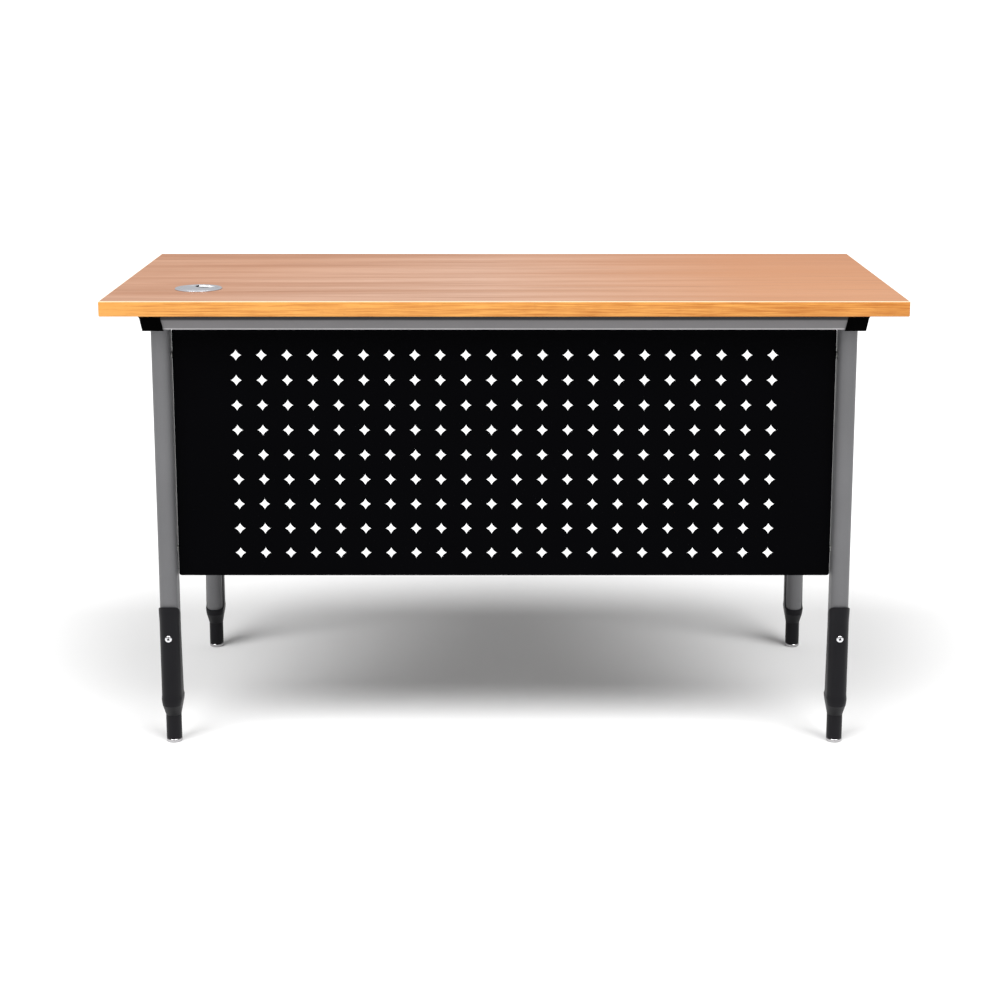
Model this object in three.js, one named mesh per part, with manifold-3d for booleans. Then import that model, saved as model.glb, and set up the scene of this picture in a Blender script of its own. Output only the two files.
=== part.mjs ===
// A teacher's desk: a laminated top on a steel tube frame with four flat-oval legs, plastic foot
// sleeves with levelling glides, a perforated steel modesty panel and a cable grommet.
// Millimetres, +Z up. The origin is on the floor under the middle of the desk. The modesty panel is
// on the -Y side, which faces the class, and the teacher sits on the +Y side.

import * as THREE from 'three';
import { mergeVertices } from 'three/addons/utils/BufferGeometryUtils.js';
import Module from 'manifold-3d';

const wasm = await Module();
wasm.setup();

// ---- Driving sizes ----------------------------------------------------------------------------

const deskWidth = 1300;
const deskDepth = 600;
const deskHeight = 760;

// Top
const topThickness = 25;
const bandThickness = 2;
const glueLine = 0.1;

// Clearances
const weldGap = 0.3; // between two pieces that are welded or screwed tight
const legFit = 0.25; // round the leg inside its foot sleeve
const plugFit = 0.3; // between an end cap and the steel that it grips
const throughFit = 0.4; // round a screw in its clearance hole

// Frame tubes: beams and rails lie flat, with the same height
const beamDepth = 50;
const railWidth = 30;
const tubeHeight = 25;
const tubeWall = 1.5;
const tubeCornerRadius = 3;

// Legs: flat-oval tube, the narrow way across the desk
const legWidth = 30;
const legDepth = 50;
const legWall = 1.5;
const legSideInset = 91; // from the side of the top to the middle of the leg
const legEdgeInset = 50; // from the long edge of the top to the middle of the leg
const legBottomHeight = 70;

// Beam end caps
const beamPastLeg = 3;
const capWall = 1.5;
const capHead = 14.5; // plastic past the end of the steel, under the lip
const capLip = 4;
const capLipHeight = 2.6;
const capLipRun = 3; // height of the slope under the lip
const capSlant = 6.5; // how far the ends lean in from top to bottom
const capGrip = 20; // length over the beam, at the top
const capCornerRadius = 19;
const plugLength = 18;
const plugWall = 2;

// Foot sleeves
const sleeveSideWall = 1.35;
const sleeveNoseWall = 2.8;
const sleeveRimThickening = 0.8;
const sleeveShellTop = 243.5; // at the nose
const sleeveShellSideTop = 226; // at the side edges
const sleeveSocketRim = 81; // at the sides of the leg
const sleeveSocketEdge = 10; // how far back the shell's side edges reach where they meet the socket
const sleeveSocketNoseRim = 79;
const sleeveShoulder = 79;
const sleeveShoulderFade = 16; // height over which the shoulder's rim dies out
const sleeveTopRimStart = 32; // below the top, where the top rim starts to swell
const sleeveTopRimFull = 8; // below the top, where it is full
const sleeveNeckTop = 48;
const sleeveNeckRadius = 13;
const sleeveScrewHeight = 188;
const sleeveScrewRecess = 1.3;
const sleeveScrewRecessRadius = 7.2;

// Levelling glides
const glideRadius = 13.5;
const glideHeight = 6.5;
const glideEdgeRadius = 2.2;
const studRadius = 4;
const studLength = 28;
const threadFit = 0.3;
const nutAcrossFlats = 13;
const nutHeight = 12;
const nutFit = 0.2;

// Modesty panel: a steel tray with its flanges folded back
const panelGapAbove = 1.7; // under the front beam
const panelAboveSleeve = 47.9; // from the top of the foot sleeves to the bottom of the panel
const panelGapAside = 2.5;
const panelSheet = 1;
const panelFlange = 18;
const panelForward = 5; // face of the panel in front of the middle of the legs
const panelCornerRadius = 5;
const starPitch = 41.7;
const starRadius = 9.25;
const starWaist = 0.52; // radius of the inner corners as a share of the tips'
const starTopMargin = 43.4;
const starBottomMargin = 38;
const starSideMargin = 100;

// Panel screws and spacers
const panelScrewFromTop = 44.5;
const panelScrewFromBottom = 44;
const panelScrewFromFace = 9;
const panelScrewRadius = 3;
const panelScrewLength = 16;
const spacerRadius = 6;

// Other screws
const sleeveScrewRadius = 2.4;
const sleeveScrewLength = 14;
const topScrewRadius = 2.2;
const topScrewLength = 17;
const topScrewAccessRadius = 6.5;
const topScrewSpacing = 400;

// Cable grommet
const grommetSideInset = 140;
const grommetEdgeInset = 140;
const grommetHoleRadius = 35;
const grommetFit = 0.3;
const grommetFlangeWidth = 4.2;
const grommetFlangeHeight = 1.6;
const linerWall = 2;
const linerDepth = 22;
const grommetSeatWall = 2.8; // round the cap's seat
const grommetCapFit = 0.4;
const grommetCapThickness = 2.4;
const grommetLedge = 2.4;
const grommetLedgeHeight = 1.5;
const capSkirtDepth = 6;
const capSkirtWall = 1.5;
const cableNotchRadius = 17;
const cableNotchAcross = 9;
const cableNotchAlong = 20;

// Facets
const tubeArcSteps = 2;
const bendArcSteps = 3;
const capArcSteps = 5;
const ovalArcSteps = 8;
const screwSides = 8;
const roundSides = 24;
const glideSides = 16;

// ---- Sizes worked out from the above ------------------------------------------------------------

const topUnderside = deskHeight - topThickness;
const beamTop = topUnderside - weldGap;
const beamBottom = beamTop - tubeHeight;
const legX = deskWidth / 2 - legSideInset;
const legY = deskDepth / 2 - legEdgeInset;
const legTop = beamBottom - weldGap;
const beamHalfLength = legX + legWidth / 2 + beamPastLeg;
const panelHalfWidth = legX - legWidth / 2 - panelGapAside;
const panelTop = beamBottom - panelGapAbove;
const panelBottom = sleeveShellTop + panelAboveSleeve;
const panelHeight = panelTop - panelBottom;
const panelFaceY = -legY - panelForward;
const panelScrewY = panelFaceY + panelScrewFromFace;
const panelScrewHeights = [panelTop - panelScrewFromTop, panelBottom + panelScrewFromBottom];
const sleeveBottom = glideHeight + weldGap;
const sleeveSideReach = legWidth / 2 + legFit + sleeveSideWall;
const sleeveNoseReach = legDepth / 2 + legFit + sleeveNoseWall;
const grommetOuterRadius = grommetHoleRadius - grommetFit;
const grommetCapRadius = grommetOuterRadius - grommetSeatWall - grommetCapFit;
const grommetX = -deskWidth / 2 + grommetSideInset;
const grommetY = -deskDepth / 2 + grommetEdgeInset;

const corners = [
  { name: 'front_left', side: -1, end: -1 },
  { name: 'front_right', side: 1, end: -1 },
  { name: 'rear_left', side: -1, end: 1 },
  { name: 'rear_right', side: 1, end: 1 },
];

// ---- Materials ----------------------------------------------------------------------------------

function finish(color, roughness, metalness) {
  return new THREE.MeshStandardMaterial({ color, roughness, metalness });
}

const laminate = finish(0xd5a58c, 0.42, 0);
const edgeTape = finish(0xeaa24e, 0.4, 0);
const greyPaint = finish(0x78787a, 0.45, 0.3);
const blackPaint = finish(0x0c0c0e, 0.5, 0.2);
const blackPlastic = finish(0x1c1c1f, 0.45, 0);
const chrome = finish(0xd2d2d4, 0.15, 1);
const zincPlate = finish(0xb4b6b8, 0.35, 0.9);
const silverPlastic = finish(0xb9c0c6, 0.35, 0.2);

// ---- Shape helpers --------------------------------------------------------------------------------

function solid(geometry) {
  const bare = geometry.index ? geometry.toNonIndexed() : geometry.clone();
  bare.deleteAttribute('normal');
  bare.deleteAttribute('uv');
  const merged = mergeVertices(bare, 1e-4);
  const mesh = new wasm.Mesh({
    numProp: 3,
    vertProperties: new Float32Array(merged.attributes.position.array),
    triVerts: new Uint32Array(merged.index.array),
  });
  mesh.merge();
  return new wasm.Manifold(mesh);
}

function geometryOf(manifold) {
  const mesh = manifold.getMesh();
  const geometry = new THREE.BufferGeometry();
  geometry.setAttribute('position', new THREE.BufferAttribute(mesh.vertProperties, 3));
  geometry.setIndex(new THREE.BufferAttribute(mesh.triVerts, 1));
  geometry.computeVertexNormals();
  return geometry;
}

function alongZ(shape, low, high, arcSteps = ovalArcSteps) {
  const settings = { depth: high - low, bevelEnabled: false, curveSegments: arcSteps };
  return new THREE.ExtrudeGeometry(shape, settings).translate(0, 0, low);
}

// A shape drawn in X and Z, drawn out along Y
function alongY(shape, low, high, arcSteps = ovalArcSteps) {
  return alongZ(shape, -high, -low, arcSteps).rotateX(Math.PI / 2);
}

// A shape drawn in Y and Z, drawn out along X
function alongX(shape, low, high, arcSteps = ovalArcSteps) {
  return alongZ(shape, low, high, arcSteps).rotateX(Math.PI / 2).rotateZ(Math.PI / 2);
}

function box(low, high) {
  const size = high.map((value, i) => value - low[i]);
  const middle = high.map((value, i) => (value + low[i]) / 2);
  return new THREE.BoxGeometry(...size).translate(...middle);
}

function polygon(points) {
  return new THREE.Shape(points.map(([x, y]) => new THREE.Vector2(x, y)));
}

function drawRoundedRectangle(path, [x0, y0], [x1, y1], radius) {
  path.moveTo(x0 + radius, y0);
  path.lineTo(x1 - radius, y0);
  path.absarc(x1 - radius, y0 + radius, radius, -Math.PI / 2, 0);
  path.lineTo(x1, y1 - radius);
  path.absarc(x1 - radius, y1 - radius, radius, 0, Math.PI / 2);
  path.lineTo(x0 + radius, y1);
  path.absarc(x0 + radius, y1 - radius, radius, Math.PI / 2, Math.PI);
  path.lineTo(x0, y0 + radius);
  path.absarc(x0 + radius, y0 + radius, radius, Math.PI, Math.PI * 1.5);
  return path;
}

// A flat oval about the origin, round at both ends of Y
function drawFlatOval(path, halfWidth, halfDepth) {
  const straight = halfDepth - halfWidth;
  path.moveTo(halfWidth, -straight);
  path.lineTo(halfWidth, straight);
  path.absarc(0, straight, halfWidth, 0, Math.PI);
  path.lineTo(-halfWidth, -straight);
  path.absarc(0, -straight, halfWidth, Math.PI, Math.PI * 2);
  return path;
}

function flatOval(growth) {
  return drawFlatOval(new THREE.Shape(), legWidth / 2 + growth, legDepth / 2 + growth);
}

// A flat-sided tube section of the frame, about the middle of its height
function tubeSection(width) {
  const half = [width / 2, tubeHeight / 2];
  const inner = half.map((value) => value - tubeWall);
  const innerRadius = tubeCornerRadius - tubeWall;
  const shape = drawRoundedRectangle(new THREE.Shape(), half.map((v) => -v), half, tubeCornerRadius);
  shape.holes.push(drawRoundedRectangle(new THREE.Path(), inner.map((v) => -v), inner, innerRadius));
  return shape;
}

function rodZ(radius, low, high, sides = screwSides) {
  const rod = new THREE.CylinderGeometry(radius, radius, high - low, sides);
  return rod.rotateX(Math.PI / 2).translate(0, 0, (low + high) / 2);
}

function rodX(radius, low, high, sides = screwSides) {
  return rodZ(radius, low, high, sides).rotateY(Math.PI / 2);
}

function rodY(radius, low, high, sides = screwSides) {
  return rodZ(radius, low, high, sides).rotateX(-Math.PI / 2);
}

// ---- Top ------------------------------------------------------------------------------------------

const topScrewSpots = [];
for (const [row, y] of [['front', -legY], ['rear', legY]]) {
  for (const step of [-1, 0, 1]) {
    topScrewSpots.push({ name: `${row}_${step + 2}`, x: step * topScrewSpacing, y });
  }
}
for (const [name, side] of [['left', -1], ['right', 1]]) {
  topScrewSpots.push({ name, x: side * legX, y: 0 });
}

function topBoard() {
  const x = deskWidth / 2 - bandThickness - glueLine;
  const y = deskDepth / 2 - bandThickness - glueLine;
  let board = solid(box([-x, -y, topUnderside], [x, y, deskHeight]));
  const hole = rodZ(grommetHoleRadius, topUnderside - 1, deskHeight + 1, roundSides);
  board = board.subtract(solid(hole.translate(grommetX, grommetY, 0)));
  const pilotTop = topScrewTip() + 1;
  for (const spot of topScrewSpots) {
    const pilot = rodZ(topScrewRadius + throughFit, topUnderside - 1, pilotTop);
    board = board.subtract(solid(pilot.translate(spot.x, spot.y, 0)));
  }
  return geometryOf(board);
}

function longBand(end) {
  const outer = (end * deskDepth) / 2;
  const inner = outer - end * bandThickness;
  const x = deskWidth / 2;
  return box([-x, Math.min(outer, inner), topUnderside], [x, Math.max(outer, inner), deskHeight]);
}

function shortBand(side) {
  const outer = (side * deskWidth) / 2;
  const inner = outer - side * bandThickness;
  const y = deskDepth / 2 - bandThickness - glueLine;
  return box([Math.min(outer, inner), -y, topUnderside], [Math.max(outer, inner), y, deskHeight]);
}

// ---- Beams, rails and end caps --------------------------------------------------------------------

const tubeMiddle = beamTop - tubeHeight / 2;

function screwOpenings(spots) {
  const openings = [];
  for (const spot of spots) {
    const passage = rodZ(topScrewRadius + throughFit, tubeMiddle, beamTop + 1);
    const access = rodZ(topScrewAccessRadius, beamBottom - 1, tubeMiddle, screwSides);
    openings.push(solid(passage.translate(spot.x, spot.y, 0)));
    openings.push(solid(access.translate(spot.x, spot.y, 0)));
  }
  return openings;
}

function cutAll(body, cutters) {
  return cutters.reduce((left, cutter) => left.subtract(cutter), body);
}

function beam(end) {
  const tube = alongX(tubeSection(beamDepth), -beamHalfLength, beamHalfLength, tubeArcSteps);
  const body = solid(tube.translate(0, end * legY, tubeMiddle));
  const spots = topScrewSpots.filter((spot) => spot.y === end * legY);
  return geometryOf(cutAll(body, screwOpenings(spots)));
}

function railEnd() {
  return legY - beamDepth / 2 - weldGap;
}

function rail(x) {
  const tube = alongY(tubeSection(railWidth), -railEnd(), railEnd(), tubeArcSteps);
  const body = solid(tube.translate(x, 0, tubeMiddle));
  const spots = topScrewSpots.filter((spot) => spot.y === 0 && spot.x === x);
  return geometryOf(cutAll(body, screwOpenings(spots)));
}

// A shroud over the end of a beam: it leans in towards the bottom, has a lip under the top and
// rounded corners, and is open where the beam, the leg and the side rail run into it.
function beamEndCap(side, end) {
  const bottom = beamBottom - plugFit - capWall;
  const halfDepth = beamDepth / 2 + plugFit + capWall;
  const tip = beamHalfLength + capHead;
  const grip = beamHalfLength - capGrip;
  const lean = capSlant / (beamTop - bottom);
  const lipBase = beamTop - capLipHeight;
  const lipFoot = lipBase - capLipRun;
  const outline = polygon([
    [grip - capSlant, bottom],
    [tip - capSlant, bottom],
    [tip - (beamTop - lipFoot) * lean, lipFoot],
    [tip + capLip, lipBase],
    [tip + capLip, beamTop],
    [grip, beamTop],
  ]);
  const plan = new THREE.Shape();
  const planLow = [grip - capSlant - capCornerRadius * 2, -halfDepth];
  drawRoundedRectangle(plan, planLow, [tip + capLip, halfDepth], capCornerRadius);
  let cap = solid(alongY(outline, -halfDepth, halfDepth));
  cap = cap.intersect(solid(alongZ(plan, bottom - 1, beamTop + 1, capArcSteps)));

  const beamSpace = beamDepth / 2 + plugFit;
  const steelEnd = beamHalfLength + plugFit;
  const steelLow = [0, -beamSpace, beamBottom - plugFit];
  cap = cap.subtract(solid(box(steelLow, [steelEnd, beamSpace, beamTop + 1])));
  cap = cap.subtract(solid(alongZ(flatOval(plugFit), bottom - 1, beamTop).translate(legX, 0, 0)));
  const railSpace = railWidth / 2 + plugFit;
  const railLow = [legX - railSpace, end > 0 ? -halfDepth * 2 : 0, bottom - 1];
  const railHigh = [legX + railSpace, end > 0 ? 0 : halfDepth * 2, beamTop + 1];
  cap = cap.subtract(solid(box(railLow, railHigh)));
  cap = cap.add(capPlug()).translate([0, end * legY, 0]);
  return geometryOf(side > 0 ? cap : cap.mirror([1, 0, 0]));
}

// The hollow plug that grips the inside of the beam
function capPlug() {
  const halfDepth = beamDepth / 2 - tubeWall - plugFit;
  const low = beamBottom + tubeWall + plugFit;
  const high = beamTop - tubeWall - plugFit;
  const start = beamHalfLength - plugLength;
  const stop = beamHalfLength + capHead / 2;
  const section = new THREE.Shape();
  const cornerRadius = tubeCornerRadius - tubeWall;
  drawRoundedRectangle(section, [-halfDepth, low], [halfDepth, high], cornerRadius);
  const outer = solid(alongX(section, start, stop, tubeArcSteps));
  const innerLow = [start - 1, -halfDepth + plugWall, low + plugWall];
  const innerHigh = [beamHalfLength, halfDepth - plugWall, high - plugWall];
  return outer.subtract(solid(box(innerLow, innerHigh)));
}

// ---- Legs -------------------------------------------------------------------------------------------

function leg(side, end) {
  const shape = flatOval(0);
  shape.holes.push(drawFlatOval(new THREE.Path(), legWidth / 2 - legWall, legDepth / 2 - legWall));
  let body = solid(alongZ(shape, legBottomHeight, legTop));
  const noseHole = rodY(sleeveScrewRadius + throughFit, 0, legDepth).rotateZ(end > 0 ? 0 : Math.PI);
  body = body.subtract(solid(noseHole.translate(0, 0, sleeveScrewHeight)));
  if (end < 0) {
    for (const height of panelScrewHeights) {
      const hole = rodX(panelScrewRadius + throughFit, 0, legWidth);
      const place = [0, panelScrewY + legY, height];
      body = body.subtract(solid(hole.rotateZ(side > 0 ? Math.PI : 0).translate(...place)));
    }
  }
  return geometryOf(body.translate([side * legX, end * legY, 0]));
}

// ---- Foot sleeves -----------------------------------------------------------------------------------

// Half width and half depth of the outside of a sleeve at a height, both the neck's radius at the
// bottom. Between the neck and the shoulder they swell, and the depth swells first.
function sleeveReach(height) {
  const swell = (low, high) => THREE.MathUtils.clamp((height - low) / (high - low), 0, 1);
  const depthTop = Math.min(legBottomHeight - weldGap, sleeveShoulder);
  const shoulderRim = THREE.MathUtils.smoothstep(height, sleeveNeckTop, sleeveShoulder);
  const faded = sleeveShoulder + sleeveShoulderFade;
  const pastShoulder = 1 - THREE.MathUtils.smoothstep(height, sleeveShoulder, faded);
  const [rimStart, rimFull] = [sleeveShellTop - sleeveTopRimStart, sleeveShellTop - sleeveTopRimFull];
  const topRim = THREE.MathUtils.smoothstep(height, rimStart, rimFull);
  const rim = sleeveRimThickening * Math.max(shoulderRim * pastShoulder, topRim);
  const side = sleeveNeckRadius + (sleeveSideReach - sleeveNeckRadius) * swell(sleeveNeckTop, sleeveShoulder);
  const nose = sleeveNeckRadius + (sleeveNoseReach - sleeveNeckRadius) * swell(sleeveNeckTop, depthTop);
  return { side: side + rim, nose: Math.max(nose, side) + rim };
}

function sleeveOuter() {
  const stops = [
    sleeveBottom,
    sleeveNeckTop,
    (sleeveNeckTop + legBottomHeight) / 2,
    legBottomHeight - weldGap,
    sleeveShoulder,
    sleeveShoulder + sleeveShoulderFade / 2,
    sleeveShoulder + sleeveShoulderFade,
    sleeveShellTop - sleeveTopRimStart,
    sleeveShellTop - (sleeveTopRimStart + sleeveTopRimFull) / 2,
    sleeveShellTop - sleeveTopRimFull,
    sleeveShellTop,
  ];
  const sides = ovalArcSteps * 2;
  const turn = Math.PI / sides;
  const skin = new THREE.CylinderGeometry(1, 1, 1, sides, stops.length - 1, false, turn);
  skin.rotateX(Math.PI / 2);
  const position = skin.attributes.position;
  for (let i = 0; i < position.count; i += 1) {
    const stop = Math.round((position.getZ(i) + 0.5) * (stops.length - 1));
    const reach = sleeveReach(stops[stop]);
    const x = position.getX(i) / Math.cos(turn);
    const y = position.getY(i) / Math.cos(turn);
    const onAxis = Math.hypot(x, y) < 0.5;
    const straight = onAxis ? 0 : Math.sign(y) * (reach.nose - reach.side);
    position.setXYZ(i, x * reach.side, y * reach.side + straight, stops[stop]);
  }
  return solid(skin);
}

// Side view of what is left of the sleeve, in Y and Z, for a leg whose outer nose points to -Y:
// a shell up the outer nose whose side edges slope back as they go down, and a low socket rim.
function sleeveSideView() {
  const reach = legDepth;
  const bend = 8;
  const low = sleeveSocketRim + bend;
  const shape = new THREE.Shape();
  shape.moveTo(-reach, 0);
  shape.lineTo(reach, 0);
  shape.lineTo(reach, sleeveSocketNoseRim);
  shape.lineTo(sleeveNoseReach, sleeveSocketNoseRim);
  shape.lineTo(sleeveSocketEdge + bend, sleeveSocketRim);
  shape.quadraticCurveTo(sleeveSocketEdge, sleeveSocketRim, sleeveSocketEdge, low);
  shape.lineTo(0, sleeveShellSideTop);
  shape.lineTo(-sleeveNoseReach, sleeveShellTop);
  shape.lineTo(-reach, sleeveShellTop);
  return shape;
}

function footSleeve(side, end) {
  let body = sleeveOuter();
  body = body.intersect(solid(alongX(sleeveSideView(), -legWidth, legWidth, bendArcSteps)));
  body = body.subtract(solid(alongZ(flatOval(legFit), legBottomHeight - weldGap, sleeveShellTop + 1)));
  const pocket = rodZ(hexCorner(nutFit), sleeveBottom - 1, sleeveBottom + nutHeight + weldGap, 6);
  body = body.subtract(solid(pocket));
  body = body.subtract(solid(rodZ(studRadius + throughFit * 2, sleeveBottom, legBottomHeight, 12)));
  const seat = sleeveNoseReach - sleeveScrewRecess;
  const recess = rodY(sleeveScrewRecessRadius, -legDepth, -seat, 16);
  body = body.subtract(solid(recess.translate(0, 0, sleeveScrewHeight)));
  const screwHole = rodY(sleeveScrewRadius + throughFit, -legDepth, 0);
  body = body.subtract(solid(screwHole.translate(0, 0, sleeveScrewHeight)));
  const turned = body.rotate([0, 0, end > 0 ? 180 : 0]);
  return geometryOf(turned.translate([side * legX, end * legY, 0]));
}

// ---- Screws, nuts and glides ------------------------------------------------------------------------

// A pan-head screw that points to +Z, with the underside of its head at the origin
function panHeadScrew(radius, length, headRadius, headHeight) {
  const profile = [
    [0, -headHeight],
    [headRadius * 0.7, -headHeight],
    [headRadius, -headHeight * 0.4],
    [headRadius, 0],
    [radius, 0],
    [radius, length],
    [0, length],
  ];
  const points = profile.map(([x, y]) => new THREE.Vector2(x, y));
  const body = solid(new THREE.LatheGeometry(points, screwSides).rotateX(Math.PI / 2));
  const slot = [headRadius * 0.55, headRadius * 0.1];
  const floor = -headHeight * 0.45;
  const across = box([-slot[0], -slot[1], -headHeight - 1], [slot[0], slot[1], floor]);
  const along = box([-slot[1], -slot[0], -headHeight - 1], [slot[1], slot[0], floor]);
  return geometryOf(body.subtract(solid(across)).subtract(solid(along)));
}

function topScrewSeat() {
  return beamTop - tubeWall - weldGap;
}

function topScrewTip() {
  return topScrewSeat() + topScrewLength;
}

function topScrew(spot) {
  const screw = panHeadScrew(topScrewRadius, topScrewLength, topScrewRadius * 2, topScrewRadius);
  return screw.translate(spot.x, spot.y, topScrewSeat());
}

function sleeveScrew(side, end) {
  const headRadius = sleeveScrewRadius * 2.4;
  const screw = panHeadScrew(sleeveScrewRadius, sleeveScrewLength, headRadius, sleeveScrewRadius * 1.1);
  const seat = sleeveNoseReach - sleeveScrewRecess + weldGap;
  screw.rotateX(end > 0 ? Math.PI / 2 : -Math.PI / 2);
  return screw.translate(side * legX, end * (legY + seat), sleeveScrewHeight);
}

function panelScrew(side, height) {
  const screw = panHeadScrew(panelScrewRadius, panelScrewLength, panelScrewRadius * 2, panelScrewRadius);
  const seat = panelHalfWidth - panelSheet - weldGap;
  screw.rotateY((side * Math.PI) / 2);
  return screw.translate(side * seat, panelScrewY, height);
}

function panelSpacer(side, height) {
  const low = panelHalfWidth + weldGap;
  const high = panelHalfWidth + panelGapAside - weldGap;
  const disc = solid(rodX(spacerRadius, low, high, 12));
  const hole = solid(rodX(panelScrewRadius + throughFit, low - 1, high + 1));
  const ring = geometryOf(disc.subtract(hole));
  return ring.rotateZ(side > 0 ? 0 : Math.PI).translate(0, panelScrewY, height);
}

function hexCorner(growth) {
  return (nutAcrossFlats / 2 + growth) / Math.cos(Math.PI / 6);
}

function glideNut(side, end) {
  const low = sleeveBottom + weldGap;
  const hex = solid(rodZ(hexCorner(0), low, sleeveBottom + nutHeight, 6));
  const bore = solid(rodZ(studRadius + threadFit, low - 1, sleeveBottom + nutHeight + 1, glideSides));
  return geometryOf(hex.subtract(bore)).translate(side * legX, end * legY, 0);
}

function glide(side, end) {
  const profile = [[0, 0]];
  const steps = 3;
  for (let i = 0; i <= steps; i += 1) {
    const angle = (Math.PI / 2) * (i / steps);
    const x = glideRadius - glideEdgeRadius * (1 - Math.sin(angle));
    profile.push([x, glideEdgeRadius * (1 - Math.cos(angle))]);
  }
  profile.push([glideRadius, glideHeight - 1.5]);
  profile.push([glideRadius - 1, glideHeight]);
  profile.push([studRadius, glideHeight]);
  profile.push([studRadius, glideHeight + studLength - 1]);
  profile.push([studRadius - 1, glideHeight + studLength]);
  profile.push([0, glideHeight + studLength]);
  const points = profile.map(([x, y]) => new THREE.Vector2(x, y));
  const body = geometryOf(solid(new THREE.LatheGeometry(points, glideSides).rotateX(Math.PI / 2)));
  return body.translate(side * legX, end * legY, 0);
}

// ---- Modesty panel ----------------------------------------------------------------------------------

function star(x, z) {
  const points = [];
  for (let i = 0; i < 8; i += 1) {
    const radius = i % 2 === 0 ? starRadius : starRadius * starWaist;
    const angle = (i * Math.PI) / 4;
    points.push([x + radius * Math.cos(angle), z + radius * Math.sin(angle)]);
  }
  return polygon(points);
}

function starField() {
  const columns = Math.floor((panelHalfWidth * 2 - starSideMargin * 2) / starPitch) + 1;
  const rows = Math.floor((panelHeight - starTopMargin - starBottomMargin) / starPitch) + 1;
  const stars = [];
  for (let row = 0; row < rows; row += 1) {
    for (let column = 0; column < columns; column += 1) {
      const x = (column - (columns - 1) / 2) * starPitch;
      stars.push(star(x, panelTop - starTopMargin - row * starPitch));
    }
  }
  return stars;
}

function modestyPanel() {
  const outline = new THREE.Shape();
  const low = [-panelHalfWidth, panelBottom];
  drawRoundedRectangle(outline, low, [panelHalfWidth, panelTop], panelCornerRadius);
  const inside = new THREE.Shape();
  const innerLow = low.map((value) => value + panelSheet);
  const innerHigh = [panelHalfWidth - panelSheet, panelTop - panelSheet];
  drawRoundedRectangle(inside, innerLow, innerHigh, panelCornerRadius - panelSheet);
  const back = panelFaceY + panelFlange;
  let panel = solid(alongY(outline, panelFaceY, back, bendArcSteps));
  panel = panel.subtract(solid(alongY(inside, panelFaceY + panelSheet, back + 1, bendArcSteps)));
  panel = panel.subtract(solid(alongY(starField(), panelFaceY - 1, panelFaceY + panelSheet * 2)));
  for (const height of panelScrewHeights) {
    const hole = rodX(panelScrewRadius + throughFit, -panelHalfWidth - 1, panelHalfWidth + 1);
    panel = panel.subtract(solid(hole.translate(0, panelScrewY, height)));
  }
  return geometryOf(panel);
}

// ---- Cable grommet ----------------------------------------------------------------------------------

const grommetTop = deskHeight + weldGap + grommetFlangeHeight;
const grommetCapBottom = grommetTop - grommetCapThickness;
const grommetLedgeTop = grommetCapBottom - weldGap;
const grommetLedgeRadius = grommetCapRadius + grommetCapFit - grommetLedge;

function grommetLiner() {
  const outer = grommetOuterRadius;
  const flange = grommetHoleRadius + grommetFlangeWidth;
  const low = deskHeight + weldGap;
  const bore = outer - linerWall;
  const ledgeBottom = grommetLedgeTop - grommetLedgeHeight;
  const profile = [
    [outer, deskHeight - linerDepth],
    [outer, low],
    [flange, low],
    [flange, low + grommetFlangeHeight * 0.4],
    [flange - 1, grommetTop],
    [grommetCapRadius + grommetCapFit, grommetTop],
    [grommetCapRadius + grommetCapFit, grommetLedgeTop],
    [grommetLedgeRadius, grommetLedgeTop],
    [grommetLedgeRadius, ledgeBottom],
    [bore, ledgeBottom - 2],
    [bore, deskHeight - linerDepth],
    [outer, deskHeight - linerDepth],
  ];
  const points = profile.map(([x, y]) => new THREE.Vector2(x, y));
  const ring = geometryOf(solid(new THREE.LatheGeometry(points, roundSides).rotateX(Math.PI / 2)));
  return ring.translate(grommetX, grommetY, 0);
}

// A disc with a skirt that drops inside the liner's ledge, and a cable notch through its rim
function grommetCap() {
  const skirt = grommetLedgeRadius - grommetCapFit;
  const skirtBottom = grommetCapBottom - capSkirtDepth;
  let cap = solid(rodZ(grommetCapRadius, grommetCapBottom, grommetTop, roundSides));
  cap = cap.add(solid(rodZ(skirt, skirtBottom, grommetCapBottom + 1, roundSides)));
  const hollow = rodZ(skirt - capSkirtWall, skirtBottom - 1, grommetCapBottom, roundSides);
  cap = cap.subtract(solid(hollow));
  const notch = rodZ(cableNotchRadius, skirtBottom - 1, grommetTop + 1, 20);
  cap = cap.subtract(solid(notch.translate(cableNotchAcross, cableNotchAlong, 0)));
  return geometryOf(cap).translate(grommetX, grommetY, 0);
}

// ---- The desk ---------------------------------------------------------------------------------------

const desk = new THREE.Group();

function place(name, geometry, material) {
  const mesh = new THREE.Mesh(geometry, material);
  mesh.name = name;
  desk.add(mesh);
}

place('top_board', topBoard(), laminate);
place('edge_band_front', longBand(-1), edgeTape);
place('edge_band_rear', longBand(1), edgeTape);
place('edge_band_left', shortBand(-1), edgeTape);
place('edge_band_right', shortBand(1), edgeTape);

place('beam_front', beam(-1), greyPaint);
place('beam_rear', beam(1), greyPaint);
place('side_rail_left', rail(-legX), greyPaint);
place('side_rail_right', rail(legX), greyPaint);
place('centre_rail', rail(0), greyPaint);

for (const { name, side, end } of corners) {
  place(`beam_end_cap_${name}`, beamEndCap(side, end), blackPlastic);
  place(`leg_${name}`, leg(side, end), greyPaint);
  place(`foot_sleeve_${name}`, footSleeve(side, end), blackPlastic);
  place(`sleeve_screw_${name}`, sleeveScrew(side, end), chrome);
  place(`glide_nut_${name}`, glideNut(side, end), zincPlate);
  place(`glide_${name}`, glide(side, end), chrome);
}

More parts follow.
